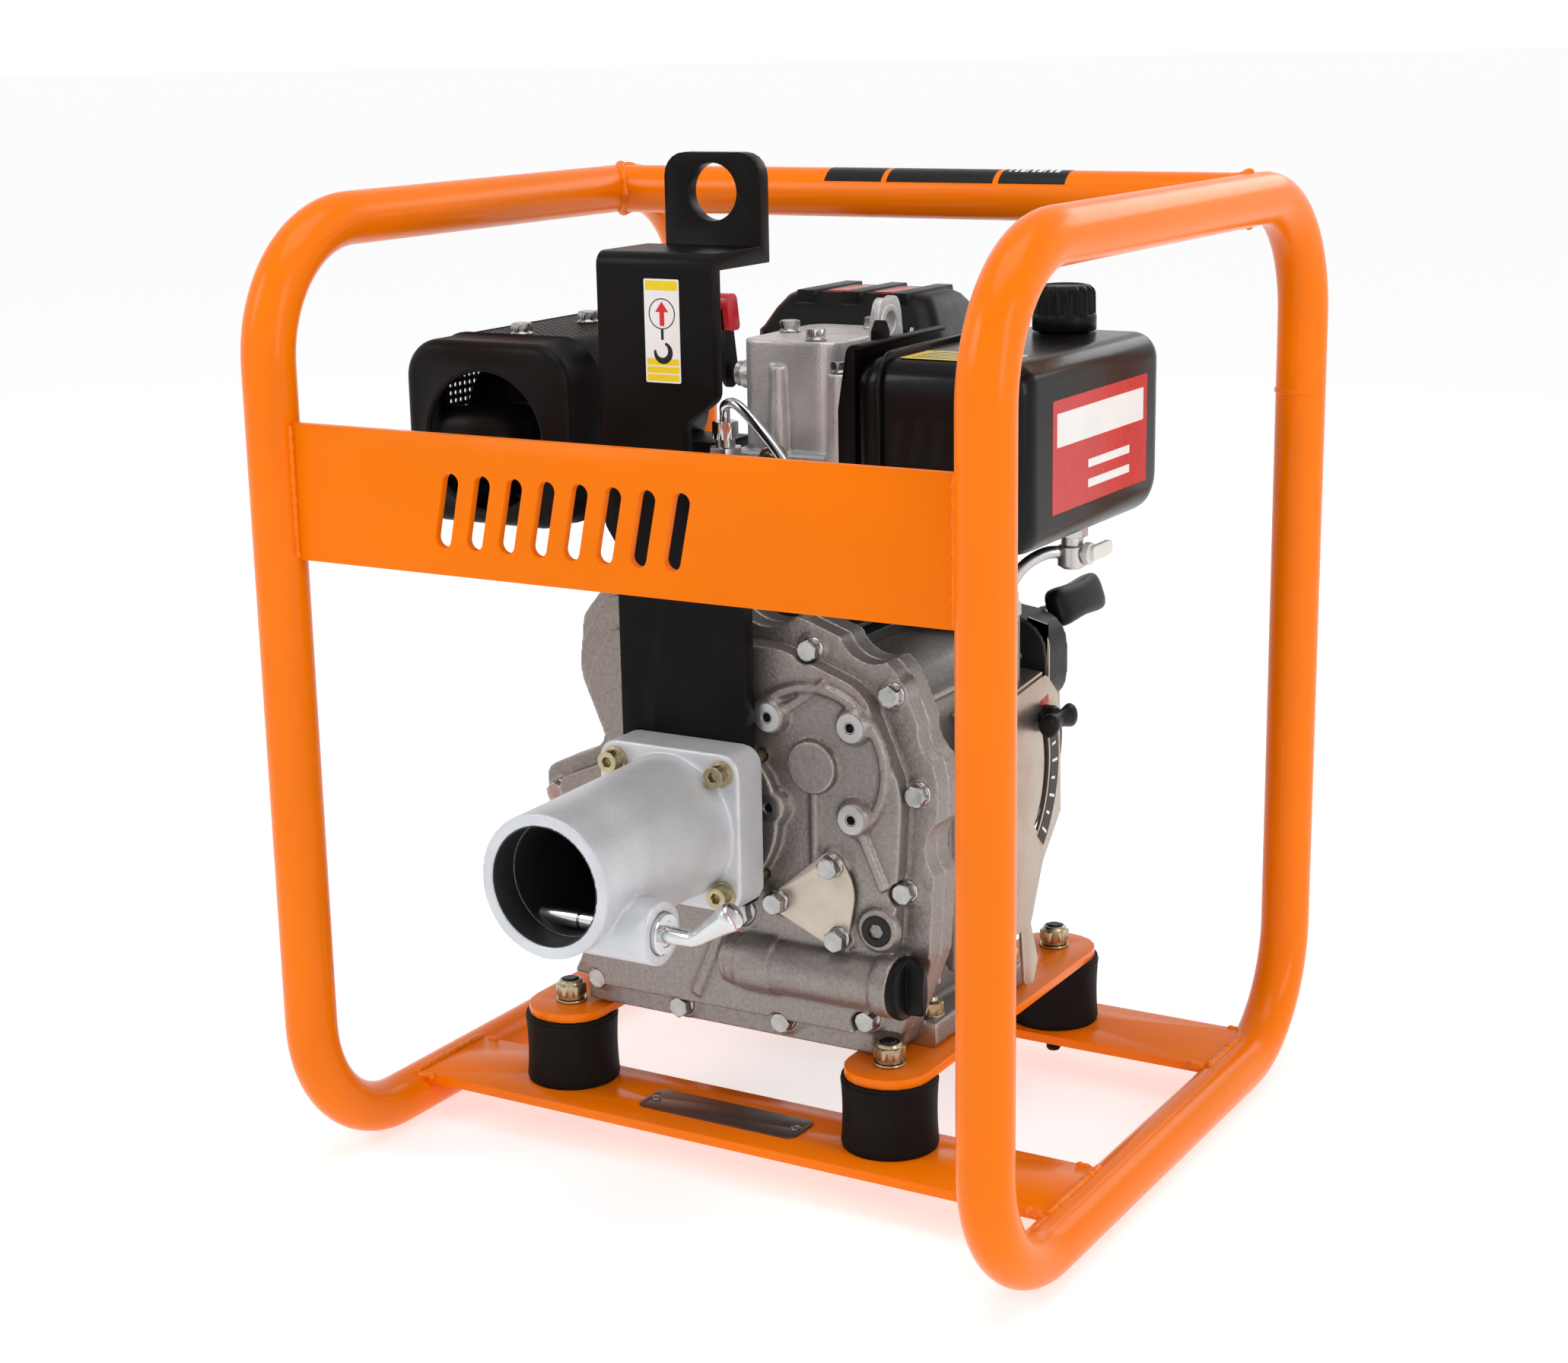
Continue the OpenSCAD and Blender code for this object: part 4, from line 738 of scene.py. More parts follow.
bm = clear(from_cad("crankcase"), scallops())
for i in range(5):
    y = -52 + 24 * i
    box_bm(bm, (-128, y, 120), (-122, y + 4, 290))
    if i != 2:
        box_bm(bm, (106, y, 120), (113, y + 4, 225))
box_bm(bm, (-112, -60, 300), (112, 70, 304))
piece("crankcase_casting", bm, "cast_aluminium", ["crankcase"], voxel=1.9, relax=2)

# foot blocks: machined faces in front of the engine's feet
bm = bmesh.new()
for x0, x1 in ((-144, -100), (80, 114)):
    box_bm(bm, (x0 + 0.5, -58.4, FOOT_Z + 0.2), (x1 - 0.5, -57.6, FOOT_Z + 15.6))
piece("foot_faces", bm, "brushed", slot="machined_steel", bevel=0.2)

ROCKER_BOLTS = [(8, -8, 505), (-30, 26, 505), (10, 62, 505), (33, -22, 488)]
HEAD_TOP = 429.5
bm = from_cad("rocker_cover")
for x, y, z in ROCKER_BOLTS:
    lathe(bm, at(x, y, HEAD_TOP), UP, [(0, 10.5), (20, 9), (z - HEAD_TOP, 8.4)], 32)
for x, y in ((-38, 50), (24, 30), (-12, -20)):
    lathe(bm, at(x, y, HEAD_TOP), UP, [(0, 7), (60, 5)], 24)
lathe(bm, at(-8, 34, 500), UP, [(0, 15), (6, 13)], 32)
box_bm(bm, (-46, -26, 429.3), (42, 80, 436))
piece("rocker_cover_casting", bm, "cast_bright", ["rocker_cover"], voxel=1.1, relax=4)
bm = from_cad("cylinder_head")
for z in (396, 404, 412):
    box_bm(bm, (-70, -36, z), (36, 68, z + 2.6))
piece("cylinder_head_casting", bm, "cast_bright", ["cylinder_head"], voxel=1.2, relax=3)
plate("barrel_fins", "cylinder_barrel", "cast_iron", bevel=0.7)
piece("side_shroud_casting", from_cad("side_shroud"), "cast_aluminium", ["side_shroud"], voxel=1.2, relax=3)
bm = from_cad("fan_case")
for i in range(4):
    arc_rib(bm, (CRANK_X, CRANK_Z), 119, 8 + 14 * i, 10 + 14 * i, 74, 138, 4, 3)
piece("fan_case_casting", bm, "dark_grey_paint", ["fan_case"], voxel=1.5, relax=3)
bm = bmesh.new()
prism(bm, filleted([(118, 262, 6), (127.2, 266, 4), (127.2, 322, 20), (112, 326, 10)]), "y", 73.5, 75.2)
piece("fan_case_bright_edge", bm, "brushed", slot="machined_steel", bevel=0.4)
plate("recoil_cover", "recoil_housing", "black_paint", bevel=1.2)


def bolt(bm, seat, axis, af, head, shank=0.0, r=3.0):
    """Flanged hexagon bolt: the flange sits on seat and the head stands out along axis."""
    if shank:
        lathe(bm, seat, -axis, [(0, r), (shank, r - 0.4)], 24)
    lathe(bm, seat, axis, [(0.02, 2.5), (0.02, af * 0.60), (0.5, af * 0.62), (1.1, af * 0.60),
                           (1.9, af * 0.50), (1.9, 2.5)], 40)
    hexagon(bm, seat, axis, af, 1.4, head, spin=seat.x * 700)


bm = bmesh.new()
for x, z in COVER_BOLTS:
    bolt(bm, at(x, LUG_Y - 1.7, z), FRONT, 12, 8, 12)
for x, z in PLATE_BOLTS:
    bolt(bm, at(x, COVER_Y - 4.05, z), FRONT, 12, 8, 8)
bolt(bm, at(4, COVER_Y - 1.1, 168), FRONT, 17, 8.5, 4, 5)
for x, y, z in ROCKER_BOLTS:
    bolt(bm, at(x, y, z + 0.3), UP, 11, 7, 10)
for x, y in GUARD_BOLTS:
    bolt(bm, at(x, y, MZ[1] + 0.05), UP, 11, 7, 8)
piece("hexagon_flange_bolts", bm, "bright_zinc", ["engine_bolts"])

plate("blanking_plate", "cover_plate", "brushed", slot="bright_zinc", bevel=0.4)
plug = at(100, COVER_Y - 5.2, 171)
piece("sump_plug_ring", turned(plug, FRONT, [(-2, 5), (-2, 9.6), (0.8, 9.6), (1.4, 9.0), (1.4, 4.9),
                                             (-1.8, 4.6)], 40, True), "dark_steel", ["sump_plug"])
piece("sump_plug_socket", turned(plug, FRONT, [(-1.9, 0.02), (-1.9, 4.95), (0.9, 4.95), (0.9, 4.9),
                                               (-1.6, 4.3), (-1.6, 0.02)], 6), "bore", slot="dark_steel")

bm = bmesh.new()
lathe(bm, OIL, RIGHT, [(60, 0.02), (60, 2.4), (97, 2.4), (97, 10.6), (112.2, 10.6), (112.2, 17.5),
                       (112.8, 19), (116.2, 19.4), (117.8, 18.4), (118.4, 15.5), (118.4, 0.02)], 64)
rings(bm, [[OIL + Vector((x, z * k * 0.9, y * k)) * MM for y, z in
            ((16.5 * cos(t), -4.4 * sin(t)) for t in turns(32))]
           for x, k in ((117, 1.06), (120, 1.0), (126, 0.98), (128.2, 0.93), (129, 0.82))])
piece("oil_cap_wing", bm, "black_plastic", ["oil_filler_cap"], body="oil_cap", angle=50)
piece("oil_cap_gasket", turned(OIL, RIGHT, [(112.05, 10.8), (112.05, 16.8), (112.3, 16.8), (112.3, 10.8)],
                               48, True), "rubber", body="oil_cap")

# ---- injector, its pipe and the decompression lever ----
plate("injector_body", "injector", "machined_steel", bevel=0.5)
bm = bmesh.new()
route = [at(*p) for p in ((-40, -38, 454), (-40, -38, 461), (-38, -40, 467), (-28, -43, 468), (-10, -47, 455),
                          (6, -50, 440), (20, -53, 424), (27, -55, 408), (28, -55, 390), (28, -55, 350),
                          (28, -55, 317))]
tube(bm, smooth_path(route, 8), 3.2, 20)
hexagon(bm, at(-40, -38, 446), UP, 14, 0, 11)
hexagon(bm, at(28, -55, 318), UP, 14, 0, 12)
piece("injection_pipe", bm, "chrome", ["injector_pipe"], slot="machined_steel")
bm = bmesh.new()
hexagon(bm, at(-5, -38, 436), FRONT, 15, 0, 7)
lathe(bm, at(-5, -38, 436), FRONT, [(0, 9.5), (1.6, 9.5), (1.6, 7), (9, 4.2), (9, 0.1)], 32)
piece("head_nut", bm, "yellow_zinc")

plate("decompression_arm", "decompression_lever", "dark_steel", body="decompression_lever", bevel=0.5)
plate("decompression_red_grip", "decompression_grip", "red_rubber", body="decompression_lever", bevel=2.0,
      seg=4)
bm = bmesh.new()
coil = [at(-52 + 1.6 * i / 16, 7.2 * cos(i * pi / 8), 481 + 7.2 * sin(i * pi / 8))
        for i in range(49)]
tube(bm, coil, 0.8, 8)
piece("decompression_spring", bm, "machined_steel")

# ---- exhaust ----

def outline_at(angle, inset=0.0, radius=24.0):
    """Point of the muffler's rounded outline in the direction angle, drawn in by inset."""
    hx, hz = (MX[1] - MX[0]) / 2 - inset, (MZ[1] - MZ[0]) / 2 - inset
    r = max(radius - inset, 2.0)
    c, s = cos(angle), sin(angle)
    t = min(hx / max(abs(c), 1e-9), hz / max(abs(s), 1e-9))
    px, pz = abs(c) * t, abs(s) * t
    if px > hx - r and pz > hz - r:
        cx, cz = hx - r, hz - r
        b = abs(c) * cx + abs(s) * cz
        t = b + sqrt(max(0.0, b * b - (cx * cx + cz * cz - r * r)))
    return MC[0] + c * t, MC[1] + s * t


ANGLES = turns(128)


def hole(r, y):
    """Loop round the cap's opening, which sits 4 mm below the middle."""
    return [at(MC[0] + r * cos(t), y, MC[1] - 4 + r * sin(t)) for t in ANGLES]


def shell(inset, y):
    """Loop along the muffler's outline."""
    return [at(x, y, z) for x, z in (outline_at(t, inset) for t in ANGLES)]


bm = bmesh.new()
cap_y = M_FRONT + CAP_DEPTH
loops = [hole(42, M_FRONT + 3.2), hole(42.2, M_FRONT + 0.8), hole(43, M_FRONT), hole(44.2, M_FRONT - 0.2),
         hole(45.4, M_FRONT + 0.8), shell(9, M_FRONT + 0.8), shell(7, M_FRONT + 0.9)]
for k in range(1, 7):
    a = radians(15 * k)
    loops.append(shell(7 * (1 - sin(a)), M_FRONT + 0.9 + 7 * (1 - cos(a))))
loops += [shell(0, cap_y - 2), shell(-1.2, cap_y - 1), shell(-1.2, cap_y + 1), shell(0.8, cap_y + 1),
          shell(1.6, cap_y - 1), shell(1.6, M_FRONT + 9), shell(4, M_FRONT + 4.5), shell(9, M_FRONT + 3),
          hole(43.5, M_FRONT + 3.3)]
rings(bm, loops, closed=True)
piece("muffler_cap_shell", bm, "muffler_paint", ["muffler_end_cap"], angle=60)


def perforated(bm, corner, u, v, nu, nv, pitch, r, thick):
    """Sheet of nu by nv square cells, each with a round hole, in mm along unit vectors u and v."""
    n = u.cross(v)
    square = [(1, 0), (1, 1), (0, 1), (-1, 1), (-1, 0), (-1, -1), (0, -1), (1, -1)]
    for i in range(nu):
        for j in range(nv):
            c = corner + u * (i + 0.5) * pitch * MM + v * (j + 0.5) * pitch * MM
            rows = []
            for depth in (0, thick):
                for kind in ("out", "in"):
                    row = []
                    for k, (a, b) in enumerate(square):
                        if kind == "in":
                            t = pi / 4 * k
                            a, b = cos(t) * r * 2 / pitch, sin(t) * r * 2 / pitch
                        row.append(bm.verts.new(c + (u * a + v * b) * pitch / 2 * MM + n * depth * MM))
                    rows.append(row)
            for k in range(8):
                m = (k + 1) % 8
                bm.faces.new((rows[0][k], rows[0][m], rows[1][m], rows[1][k]))
                bm.faces.new((rows[2][m], rows[2][k], rows[3][k], rows[3][m]))
                bm.faces.new((rows[1][k], rows[1][m], rows[3][m], rows[3][k]))


bm = bmesh.new()
PITCH, HOLE_R = 5.0, 1.7
y_start = cap_y + 7
cells_y = int((M_REAR - 8 - y_start) / PITCH)
cells_x = int((MX[1] - MX[0] - 2 * 30) / PITCH) + 3
x_start = (MX[0] + MX[1]) / 2 - cells_x * PITCH / 2
perforated(bm, at(x_start, y_start, MZ[1] - 2), RIGHT, BACK, cells_x, cells_y, PITCH, HOLE_R, 1.5)
cells_z = int((MZ[1] - MZ[0] - 50) / PITCH)
z_start = MZ[0] + 25
perforated(bm, at(MX[0] + 2, y_start, z_start), UP, BACK, cells_z, cells_y, PITCH, HOLE_R, 1.5)
bmesh.ops.remove_doubles(bm, verts=bm.verts, dist=1e-6)
piece("muffler_guard_mesh", bm, "muffler_paint")

bm = bmesh.new()
y_end = y_start + cells_y * PITCH
lo_y, hi_y = cap_y + 1.2, M_REAR


def guard_strip(t0, t1, y0, y1, n=10):
    """Plain stretch of the guard's sheet between two directions from its middle."""
    loops = []
    for k in range(n + 1):
        t = radians(t0 + (t1 - t0) * k / n)
        outer, inner = outline_at(t, 0), outline_at(t, 2)
        loops.append([at(outer[0], y0, outer[1]), at(outer[0], y1, outer[1]),
                      at(inner[0], y1, inner[1]), at(inner[0], y0, inner[1])])
    rings(bm, loops)


def facing(x, z):
    """Direction of a point from the muffler's middle, in degrees."""
    return degrees(atan2(z - MC[1], x - MC[0])) % 360


top_r, top_l = facing(x_start + cells_x * PITCH, MZ[1]), facing(x_start, MZ[1])
side_t, side_b = facing(MX[0], z_start + cells_z * PITCH), facing(MX[0], z_start)
guard_strip(facing(MX[1], 480), top_r, lo_y, hi_y, 14)
guard_strip(top_l, side_t, lo_y, hi_y, 14)
guard_strip(side_b, 250, lo_y, hi_y, 14)
for y0, y1 in ((lo_y, y_start), (y_end, hi_y)):
    guard_strip(top_r, top_l, y0, y1)
    guard_strip(side_t, side_b, y0, y1)
for x, y in GUARD_BOLTS:
    lathe(bm, at(x, y, MZ[1] - 1.9), UP, [(0, 2), (0, 9.5), (1.4, 9.5), (1.9, 8.6), (1.9, 2)], 32, True)
piece("muffler_guard_sheet", bm, "muffler_paint", ["muffler_guard"], bevel=0.3)

bm = bmesh.new()
can_front = M_FRONT + 46
bend = [at(MC[0], can_front + 1, MC[1])]
for k in range(13):
    a = radians(7.5 * k)
    bend.append(at(MC[0] - 18 * (1 - cos(a)), can_front - 8 - 18 * sin(a), MC[1]))
bend += [at(MC[0] - x, can_front - 26, MC[1]) for x in (34, 38)]
# the pipe's wall: out along the bend, over its rim and back inside
tube(bm, bend + [bend[-1] + RIGHT * 0.2 * MM] + bend[:3:-1],
     [14.0] * len(bend) + [12.2] * (len(bend) - 3), 32)
lathe(bm, at(MC[0], can_front - 3, MC[1]), FRONT, [(0, 13.5), (0, 16.5), (3, 16.5), (3.6, 15.5), (3.6, 13.5)],
      40, True)
piece("exhaust_elbow_pipe", bm, "muffler_paint", ["exhaust_elbow"], angle=60)
plate("muffler_can", "muffler_body", "muffler_paint", bevel=2.0)

# ---- air cleaner ----
def cleaner_outline(i, r):
    """The air cleaner seen from above, drawn in by i, with front corners of radius r."""
    return filleted([(-92 + i, 88 + i, r), (40 - i, 88 + i, r), (40 - i, 176 - i, r + 4),
                     (-92 + i, 176 - i, r + 4)])


bm = bmesh.new()
prism(bm, cleaner_outline(0, 14), "z", 430, 492)
rings(bm, [[at(p.x, p.y, z) for p in cleaner_outline(i, 12)]
           for i, z in ((-1.5, 492), (-1.5, 497), (1, 500), (7, 511), (13, 519), (18, 522))])
for x in (-60, -26, 8):
    rings(bm, [[at(x + dx, y, z) for dx, z in ((-9, 500), (9, 500), (6, 523.5), (-6, 523.5))]
               for y in (98, 165)])
piece("air_cleaner_body", bm, "black_plastic", ["air_cleaner"], bevel=1.6)
bm = bmesh.new()
for x0, x1 in ((-51, -35), (-17, -1)):
    box_bm(bm, (x0, 112, 522.0), (x1, 150, 522.5))
piece("air_cleaner_label", bm, "label_red", bevel=0.1)
bm = bmesh.new()
for x in (-70, -62, 16, 24):
    tube(bm, smooth_path([at(x, y, z) for y, z in ((84.5, 470), (83.5, 482), (84.5, 494), (88, 503))], 6),
         1.6, 10)
piece("air_cleaner_clips", bm, "bright_zinc")

# ---- fuel tank ----
TX, TY, TZ = (58.0, 172.0), (-57.0, 146.0), (390.0, 502.0)


def tank_loop(x, inset):
    """Loop round the tank at x, drawn in by inset."""
    (y0, y1), (z0, z1) = ((lo + inset, hi - inset) for lo, hi in (TY, TZ))
    corners = [(y0, z0, 20), (y1, z0, 24), (y1, z1, 17), (y0, z1, 17)]
    return [at(x, p.x, p.y) for p in filleted([(y, z, max(r - inset, 4)) for y, z, r in corners], 8)]


bm = bmesh.new()
EDGE = 15.0
profile = [(TX[0] + EDGE * (1 - cos(radians(90 * k / 8))),
            EDGE * (1 - sin(radians(90 * k / 8)))) for k in range(9)]
profile += [(TX[0] + TX[1] - x, i) for x, i in reversed(profile)]
rings(bm, [tank_loop(x, inset) for x, inset in profile])
piece("fuel_tank_shell", bm, "tank_plastic", ["fuel_tank"], angle=60)
bm = bmesh.new()
rings(bm, [tank_loop(x, inset) for x, inset in
           ((76, 0.4), (76, -3.2), (76.8, -4), (78.4, -4), (79.2, -3.2), (79.2, 0.4))], closed=True)
piece("fuel_tank_seam", bm, "tank_plastic", angle=60)
neck = at(116, 118, TZ[1])
piece("fuel_neck", turned(neck, UP, [(-2, 13.5), (-0.5, 17), (0.2, 16), (0.4, 13.9), (8, 13.9), (8, 11),
                                     (-2, 11)], 48, True), "tank_plastic")
bm = bmesh.new()
loops = []
for z, r, rib in ((0.7, 14.3, 0), (0.7, 19.6, 0), (1.2, 20.2, 0), (9.5, 20.2, 0), (11, 19.6, 0),
                  (11.6, 18.4, 1.4), (24, 17.9, 1.6), (26.5, 17.2, 1.4), (28.3, 15.8, 0.6), (29, 13.5, 0),
                  (28.2, 12.4, 0), (28.2, 0.05, 0)):
    loops.append([neck + Vector((cos(t), sin(t), 0)) *
                  (r + rib * max(-0.2, cos(18 * t))) * MM + UP * z * MM
                  for t in turns(216)])
rings(bm, loops)
piece("fuel_cap_knob", bm, "black_plastic", ["fuel_cap"], body="fuel_cap", angle=60)

label("tank_label", -21, 119, 411, 478, TX[1], "label_red", axis="x", r=0.6)
label("tank_label_band", -15, 113, 450, 470, TX[1] + 0.12, "label_white", axis="x", r=0.4,
      thick=0.06)
for i in range(2):
    label("tank_label_line_%d" % i, 30, 92, 420 + 12 * i, 425 + 12 * i, TX[1] + 0.12, "label_white",
          axis="x", r=0.4, thick=0.06)
bm = bmesh.new()
prism(bm, filleted(rectangle(84, 150, -44, -6, 1.5), 3), "z", TZ[1], TZ[1] + 0.15)
piece("tank_top_label", bm, "label_yellow", slot="white_nylon")
bm = bmesh.new()
for i in range(5):
    prism(bm, filleted(rectangle(90, 144 - 9 * (i % 2), -40 + 6.5 * i, -37 + 6.5 * i, 0.3), 2), "z",
          TZ[1] + 0.15, TZ[1] + 0.2)
prism(bm, filleted(rectangle(84, 150, -6, 4, 0.6), 2), "z", TZ[1], TZ[1] + 0.15)
piece("tank_top_label_print", bm, "label_black")

plate("tank_bracket_plate", "tank_bracket", "black_paint", bevel=1.2)
bm = bmesh.new()
prism(bm, filleted([(-4, 429, 3), (38, 429, 3), (35, 505, 6), (32, 522, 9), (27, 533, 7), (17, 528, 5),
                    (8, 533, 7), (3, 522, 9), (-1, 505, 6)]), "x", 40, 45.5)
bm = clear(bm, turned(at(38, 17, 515), RIGHT, [(0, 6.5), (10, 6.5)], 40))
lathe(bm, at(39.2, 17, 515), RIGHT,
      [(0, 6.6), (0, 10.5), (1, 11.2), (6.2, 11.2), (7, 10.5), (7, 6.6)], 48, True)
piece("lifting_eye_casting", bm, "cast_bright", ["lifting_eye"], bevel=1.0)
bm = bmesh.new()
prism(bm, filleted([(-8, 478, 4), (0, 478, 4), (2, 512, 3), (-3, 520, 2), (-9, 512, 3)]), "x", 46, 54)
piece("tank_rubber_clip", bm, "rubber", bevel=1.2)

# ---- fuel cock ----
CX, CY = 146, 66
TAP = at(CX, CY, TZ[0])
bm = bmesh.new()
lathe(bm, TAP, UP, [(-28, 0.1), (-28, 6), (-26, 9), (-14, 9), (-13, 7), (-8, 7), (-8, 0.1)], 40)
hexagon(bm, TAP, UP, 17, -8, -0.1)
lathe(bm, TAP + UP * -18 * MM, RIGHT, [(0, 5), (9, 5)], 32)
pipe = [at(CX - x, CY - y, TZ[0] - z)
        for x, y, z in ((4, 2, 18), (13, 11, 18), (22, 20, 24), (29, 24, 34), (33, 26, 45))]
tube(bm, smooth_path(pipe, 8), 4, 20)
hexagon(bm, at(CX - 33, CY - 26, TZ[0] - 56), UP, 17, 0, 9)
hexagon(bm, at(CX - 33, CY - 26, TZ[0] - 48), UP, 14, 0, 7)
piece("fuel_cock_body", bm, "machined_steel", ["fuel_cock"])
plate("fuel_cock_handle", "fuel_cock_lever", "white_nylon", body="fuel_cock_lever", bevel=0.9)

# ---- speed control ----
PX = 127.0
PIVOT = (5, 236)
LEVER_R, LEVER_A = 62.0, 28.0
plate("speed_panel_plate", "speed_panel", "brushed", slot="bright_zinc", bevel=0.5)
bm = bmesh.new()
rings(bm, [[at(x, -26, z), at(x, 64, z + 10), at(x, 64, z + 12), at(x, -26, z + 2)]
           for x, z in ((127.2, 282), (122, 282.6), (108.4, 284))])
rings(bm, [[at(x, y, z) for y, z in ((84.0, 276), (86.6, 276), (89.4, 196), (86.8, 196))]
           for x in (129.3, 119, 114)])
prism(bm, filleted([(30, 140, 3), (44, 136, 3), (56, 106, 6), (48, 88, 6), (36, 96, 6)]), "x", 126.9, 129.2)
piece("speed_panel_flange", bm, "brushed", slot="bright_zinc", bevel=0.5)


def polar(r, t, x):
    """Point at radius r and angle t (degrees) about the speed lever's pivot."""
    a = radians(t)
    return at(x, PIVOT[0] + r * cos(a), PIVOT[1] + r * sin(a))


def arc_band(bm, r0, r1, t0, t1, x0, x1, n=24):
    """Flat arc on the speed panel about the lever's pivot."""
    rings(bm, [[polar(r, t, x) for r, x in ((r0, x0), (r1, x0), (r1, x1), (r0, x1))]
               for t in (t0 + (t1 - t0) * i / n for i in range(n + 1))])


FACE = PX + 2.5
bm = bmesh.new()
arc_band(bm, 67.5, 79, -44, 12, FACE, FACE + 0.3)
piece("speed_scale", bm, "label_black")
bm = bmesh.new()
for i in range(6):
    t = -38 + 9 * i
    arc_band(bm, 69.5, 74.5 if i % 2 else 77, t - 0.7, t + 0.7, FACE + 0.3, FACE + 0.4, 2)
piece("speed_scale_marks", bm, "label_white")
plate("speed_lever_arm", "speed_lever", "bright_zinc", body="speed_lever", bevel=0.4)
bm = bmesh.new()
hub = polar(LEVER_R, LEVER_A, 0)
lathe(bm, hub, RIGHT, [(PX + 3.3, 3.2), (PX + 3.3, 8.2), (PX + 4, 9), (PX + 10, 9), (PX + 12, 7.5),
                       (PX + 12, 3.2)], 40, True)
for s in (-1, 1):
    rings(bm, [[hub + Vector((x, s * y, z)) * MM for x, z in
                ((PX + 9 + 5.2 * (1 + cos(t)) * w, (5.4 + 1.2 * grow) * sin(t))
                 for t in turns(24))]
               for y, w, grow in ((0.2, 0.8, 0), (5, 0.85, 0), (10, 1.0, 1), (15, 1.05, 2), (18.4, 0.9, 1),
                                  (20, 0.5, -1.5))])
piece("speed_knob_wing", bm, "black_plastic", ["speed_knob"], body="speed_knob", angle=50)
bm = bmesh.new()
hub_y = hub.y / MM - SHIFT_Y / MM
prism(bm, [(hub_y - 2, 272), (hub_y + 9, 274), (hub_y + 8, 279), (hub_y - 3, 277)], "x", FACE, FACE + 0.2)
piece("speed_panel_mark", bm, "label_red")

# Sealed setting screw beside the cover, with its wire
piece("sealed_screw", turned(at(118, -70, 172), FRONT,
                             [(-6, 4), (0, 4), (0, 6.6), (1, 7.4), (5, 7.4), (6, 6.6), (6, 1.1), (4.6, 0.9),
                              (4.6, 0.1)], 40), "purple_plastic")
bm = bmesh.new()
for k in range(2):
    twist = [at(118 + 1.3 * cos(i * 0.8 + pi * k), -76 + i * 0.1,
                181 + i * 1.5 + 1.3 * sin(i * 0.8 + pi * k)) for i in range(26)]
    tube(bm, twist, 0.55, 8)
piece("seal_wire", bm, "machined_steel")

# ---- recoil starter grip and rope ----
TILT = radians(20)
PULL = Vector((cos(TILT), 0, sin(TILT)))
ROPE_R = 42
grip_lo, grip_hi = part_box("starter_grip")
grip_y = (grip_lo.y + grip_hi.y) / 2


def rope_point(x):
    """Point at x of the rope's straight line, which leaves the reel at radius ROPE_R and rises by TILT."""
    height = CRANK_Z + ROPE_R / cos(TILT) + (x - CRANK_X) * tan(TILT)
    return Vector((x * MM, grip_y, height * MM))


def squarish(t):
    """Cosine and sine of t, drawn out towards a rounded square."""
    return (copysign(abs(f) ** 0.6, f) for f in (cos(t), sin(t)))


GRIP = rope_point(112)
LIFT = PULL.cross(BACK) * -1
bm = bmesh.new()
loops = []
for s, half_w, half_t in ((-35, 3, 3), (-34.2, 9, 4.6), (-31, 12.6, 6.4), (-24, 13, 7.6), (-12, 12, 8.2),
                          (0, 11.5, 8.6), (12, 12, 8.2), (24, 13, 7.6), (31, 12.6, 6.4), (34.2, 9, 4.6),
                          (35, 3, 3)):
    loops.append([GRIP + BACK * s * MM + LIFT * half_w * c * MM + PULL * half_t * d * MM
                  for c, d in (squarish(t) for t in turns(32))])
rings(bm, loops)
lathe(bm, GRIP, -PULL, [(2, 7.6), (9, 8.4), (16, 8.6), (18, 7.6), (18, 2.8), (4, 2.8), (4, 2)], 40)
piece("starter_pull_grip", bm, "black_plastic", ["starter_grip"], body="starter_handle", sub=1, angle=60)
bm = bmesh.new()
guide_end = rope_point(50) + PULL * 22 * MM
rope_in = guide_end - PULL * 8 * MM
rope_out = GRIP - PULL * 6 * MM
rope_n = 120
path = [rope_in + (rope_out - rope_in) * i / rope_n for i in range(rope_n + 1)]
loops = []
for i, p in enumerate(path):
    # three strands laid round one another
    loops.append([p + (BACK * cos(a) + LIFT * sin(a))
                  * (1.9 + 0.16 * cos(3 * a + i * 0.7)) * MM
                  for a in turns(14)])
rings(bm, loops)
rope = piece("starter_rope_run", bm, "rope", body=None)
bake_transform(rope)
piece("rope_guide_ring",
      turned(guide_end, PULL, [(-4, 6), (0.4, 6), (1.2, 5), (1.2, 3.2), (-4, 2.9)], 40, True), "bright_zinc")


def tube_label(name, x0, x1, t0, t1, look, thick=0.15):
    """Plain strip round part of the rear cross tube, between two angles in degrees."""
    bm = bmesh.new()
    inner = TUBE_R + 0.02
    turn = [radians(t0 + (t1 - t0) * i / 10) for i in range(11)]
    arc = [(t, inner) for t in turn] + [(t, inner + thick) for t in reversed(turn)]
    rings(bm, [[at(x, CROSS_Y + r * cos(t), TOP_Z + r * sin(t)) for t, r in arc] for x in (x0, x1)])
    return piece(name, bm, look, angle=50)


for side, x0, x1 in (("left", -60, -18), ("middle", -14, 62), ("right", 66, 112)):
    tube_label("cross_tube_label_" + side, x0, x1, 75, 150, "label_black")
for i in range(9):
    x = 70 + 4 * i
    tube_label("cross_tube_label_bar_%d" % i, x, x + 1.2 + 0.9 * (i % 3), 84, 112, "label_white", 0.25)

# ---- camera, lights and floor ----

def aimed(ob, place, target, roll=0.0):
    """Puts ob at place, looking at target, turned by roll about its own line of sight."""
    ahead = (target - place).normalized()
    right = ahead.cross(UP).normalized()
    up = right.cross(ahead)
    c, s = cos(roll), sin(roll)
    across, above = right * c + up * s, up * c - right * s
    ob.matrix_world = Matrix((
        (across.x, above.x, -ahead.x, place.x), (across.y, above.y, -ahead.y, place.y),
        (across.z, above.z, -ahead.z, place.z), (0, 0, 0, 1)))


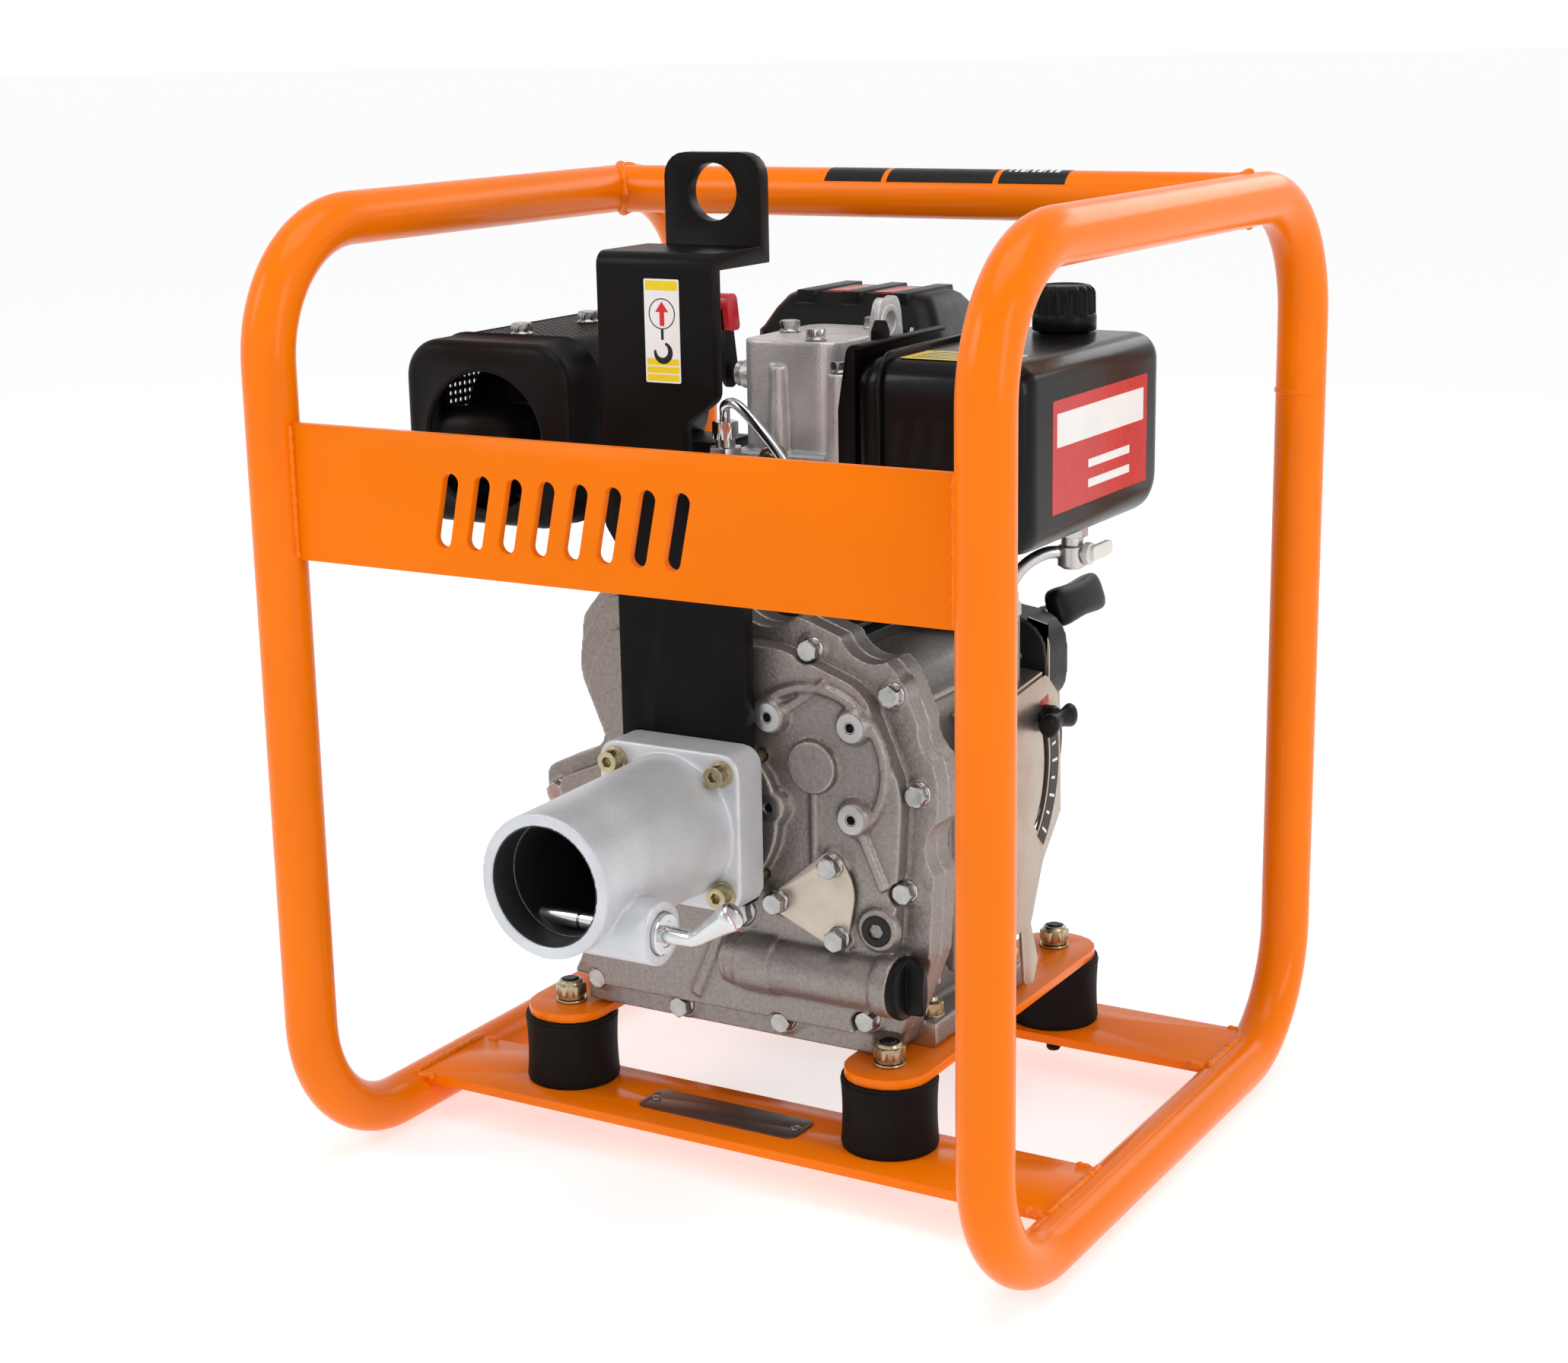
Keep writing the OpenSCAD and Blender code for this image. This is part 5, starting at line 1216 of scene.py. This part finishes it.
def added(name, data):
    """Puts a new object into the scene."""
    ob = bpy.data.objects.new(name, data)
    bpy.context.scene.collection.objects.link(ob)
    return ob


cam = bpy.data.cameras.new("camera")
cam.sensor_fit, cam.sensor_width, cam.lens = "HORIZONTAL", 36.0, 60.566
cam.clip_start, cam.clip_end = 0.05, 50
camera = added("camera", cam)
# fitted to the frame's tubes as the photograph shows them
aimed(camera, at(804.56, -1406.93, 692.13), at(-23.84, 0, 285.41), radians(-1.0474))
bpy.context.scene.camera = camera


def area_light(name, place, target, size, power):
    """Soft rectangular light of size (width, height) in metres and power in watts."""
    data = bpy.data.lights.new(name, "AREA")
    data.shape, data.size, data.size_y, data.energy = "RECTANGLE", size[0], size[1], power
    aimed(added(name, data), Vector(place), Vector(target))


MIDDLE = (0, 0, 0.3)
area_light("key_left", (-1.7, -1.8, 1.9), MIDDLE, (0.9, 1.2), 18)
area_light("top", (0.2, -0.2, 2.4), (0, 0, 0.301), (1.6, 1.2), 15)
area_light("fill_right", (2.3, -0.6, 1.2), MIDDLE, (0.6, 1.6), 13)
area_light("rim_back", (0.6, 2.4, 1.6), MIDDLE, (1.6, 0.8), 10)

# White all round the horizon, like a studio's backdrop, and greyer overhead
world = bpy.data.worlds.new("studio")
bpy.context.scene.world = world
world.use_nodes = True
tree = world.node_tree
sky = tree.nodes["Background"]
sky.inputs["Strength"].default_value = 1.0
way = tree.nodes.new("ShaderNodeTexCoord")
height = tree.nodes.new("ShaderNodeSeparateXYZ")
tree.links.new(way.outputs["Generated"], height.inputs["Vector"])
tree.links.new(two_stops(tree, height.outputs["Z"], (0.16, (1, 1, 1)), (0.75, (0.5, 0.5, 0.5))),
               sky.inputs["Color"])

bm = bmesh.new()
corners = (-80, -80), (80, -80), (80, 80), (-80, 80)
rings(bm, [[Vector((x, y, z)) for x, y in corners] for z in (-0.01, 0.0)])
floor_mesh = bpy.data.meshes.new("floor")
bm.to_mesh(floor_mesh)
bm.free()
floor = added("floor", floor_mesh)
pale = material("floor", (0.60, 0.60, 0.60), 0.8, vary=0.01, gloss=0.1)
glow = pale.node_tree.nodes["Principled BSDF"].inputs
glow["Emission Color"].default_value = (1, 1, 1, 1)
glow["Emission Strength"].default_value = 0.58
floor_mesh.materials.append(pale)
bpy.context.scene.view_settings.view_transform = "Standard"
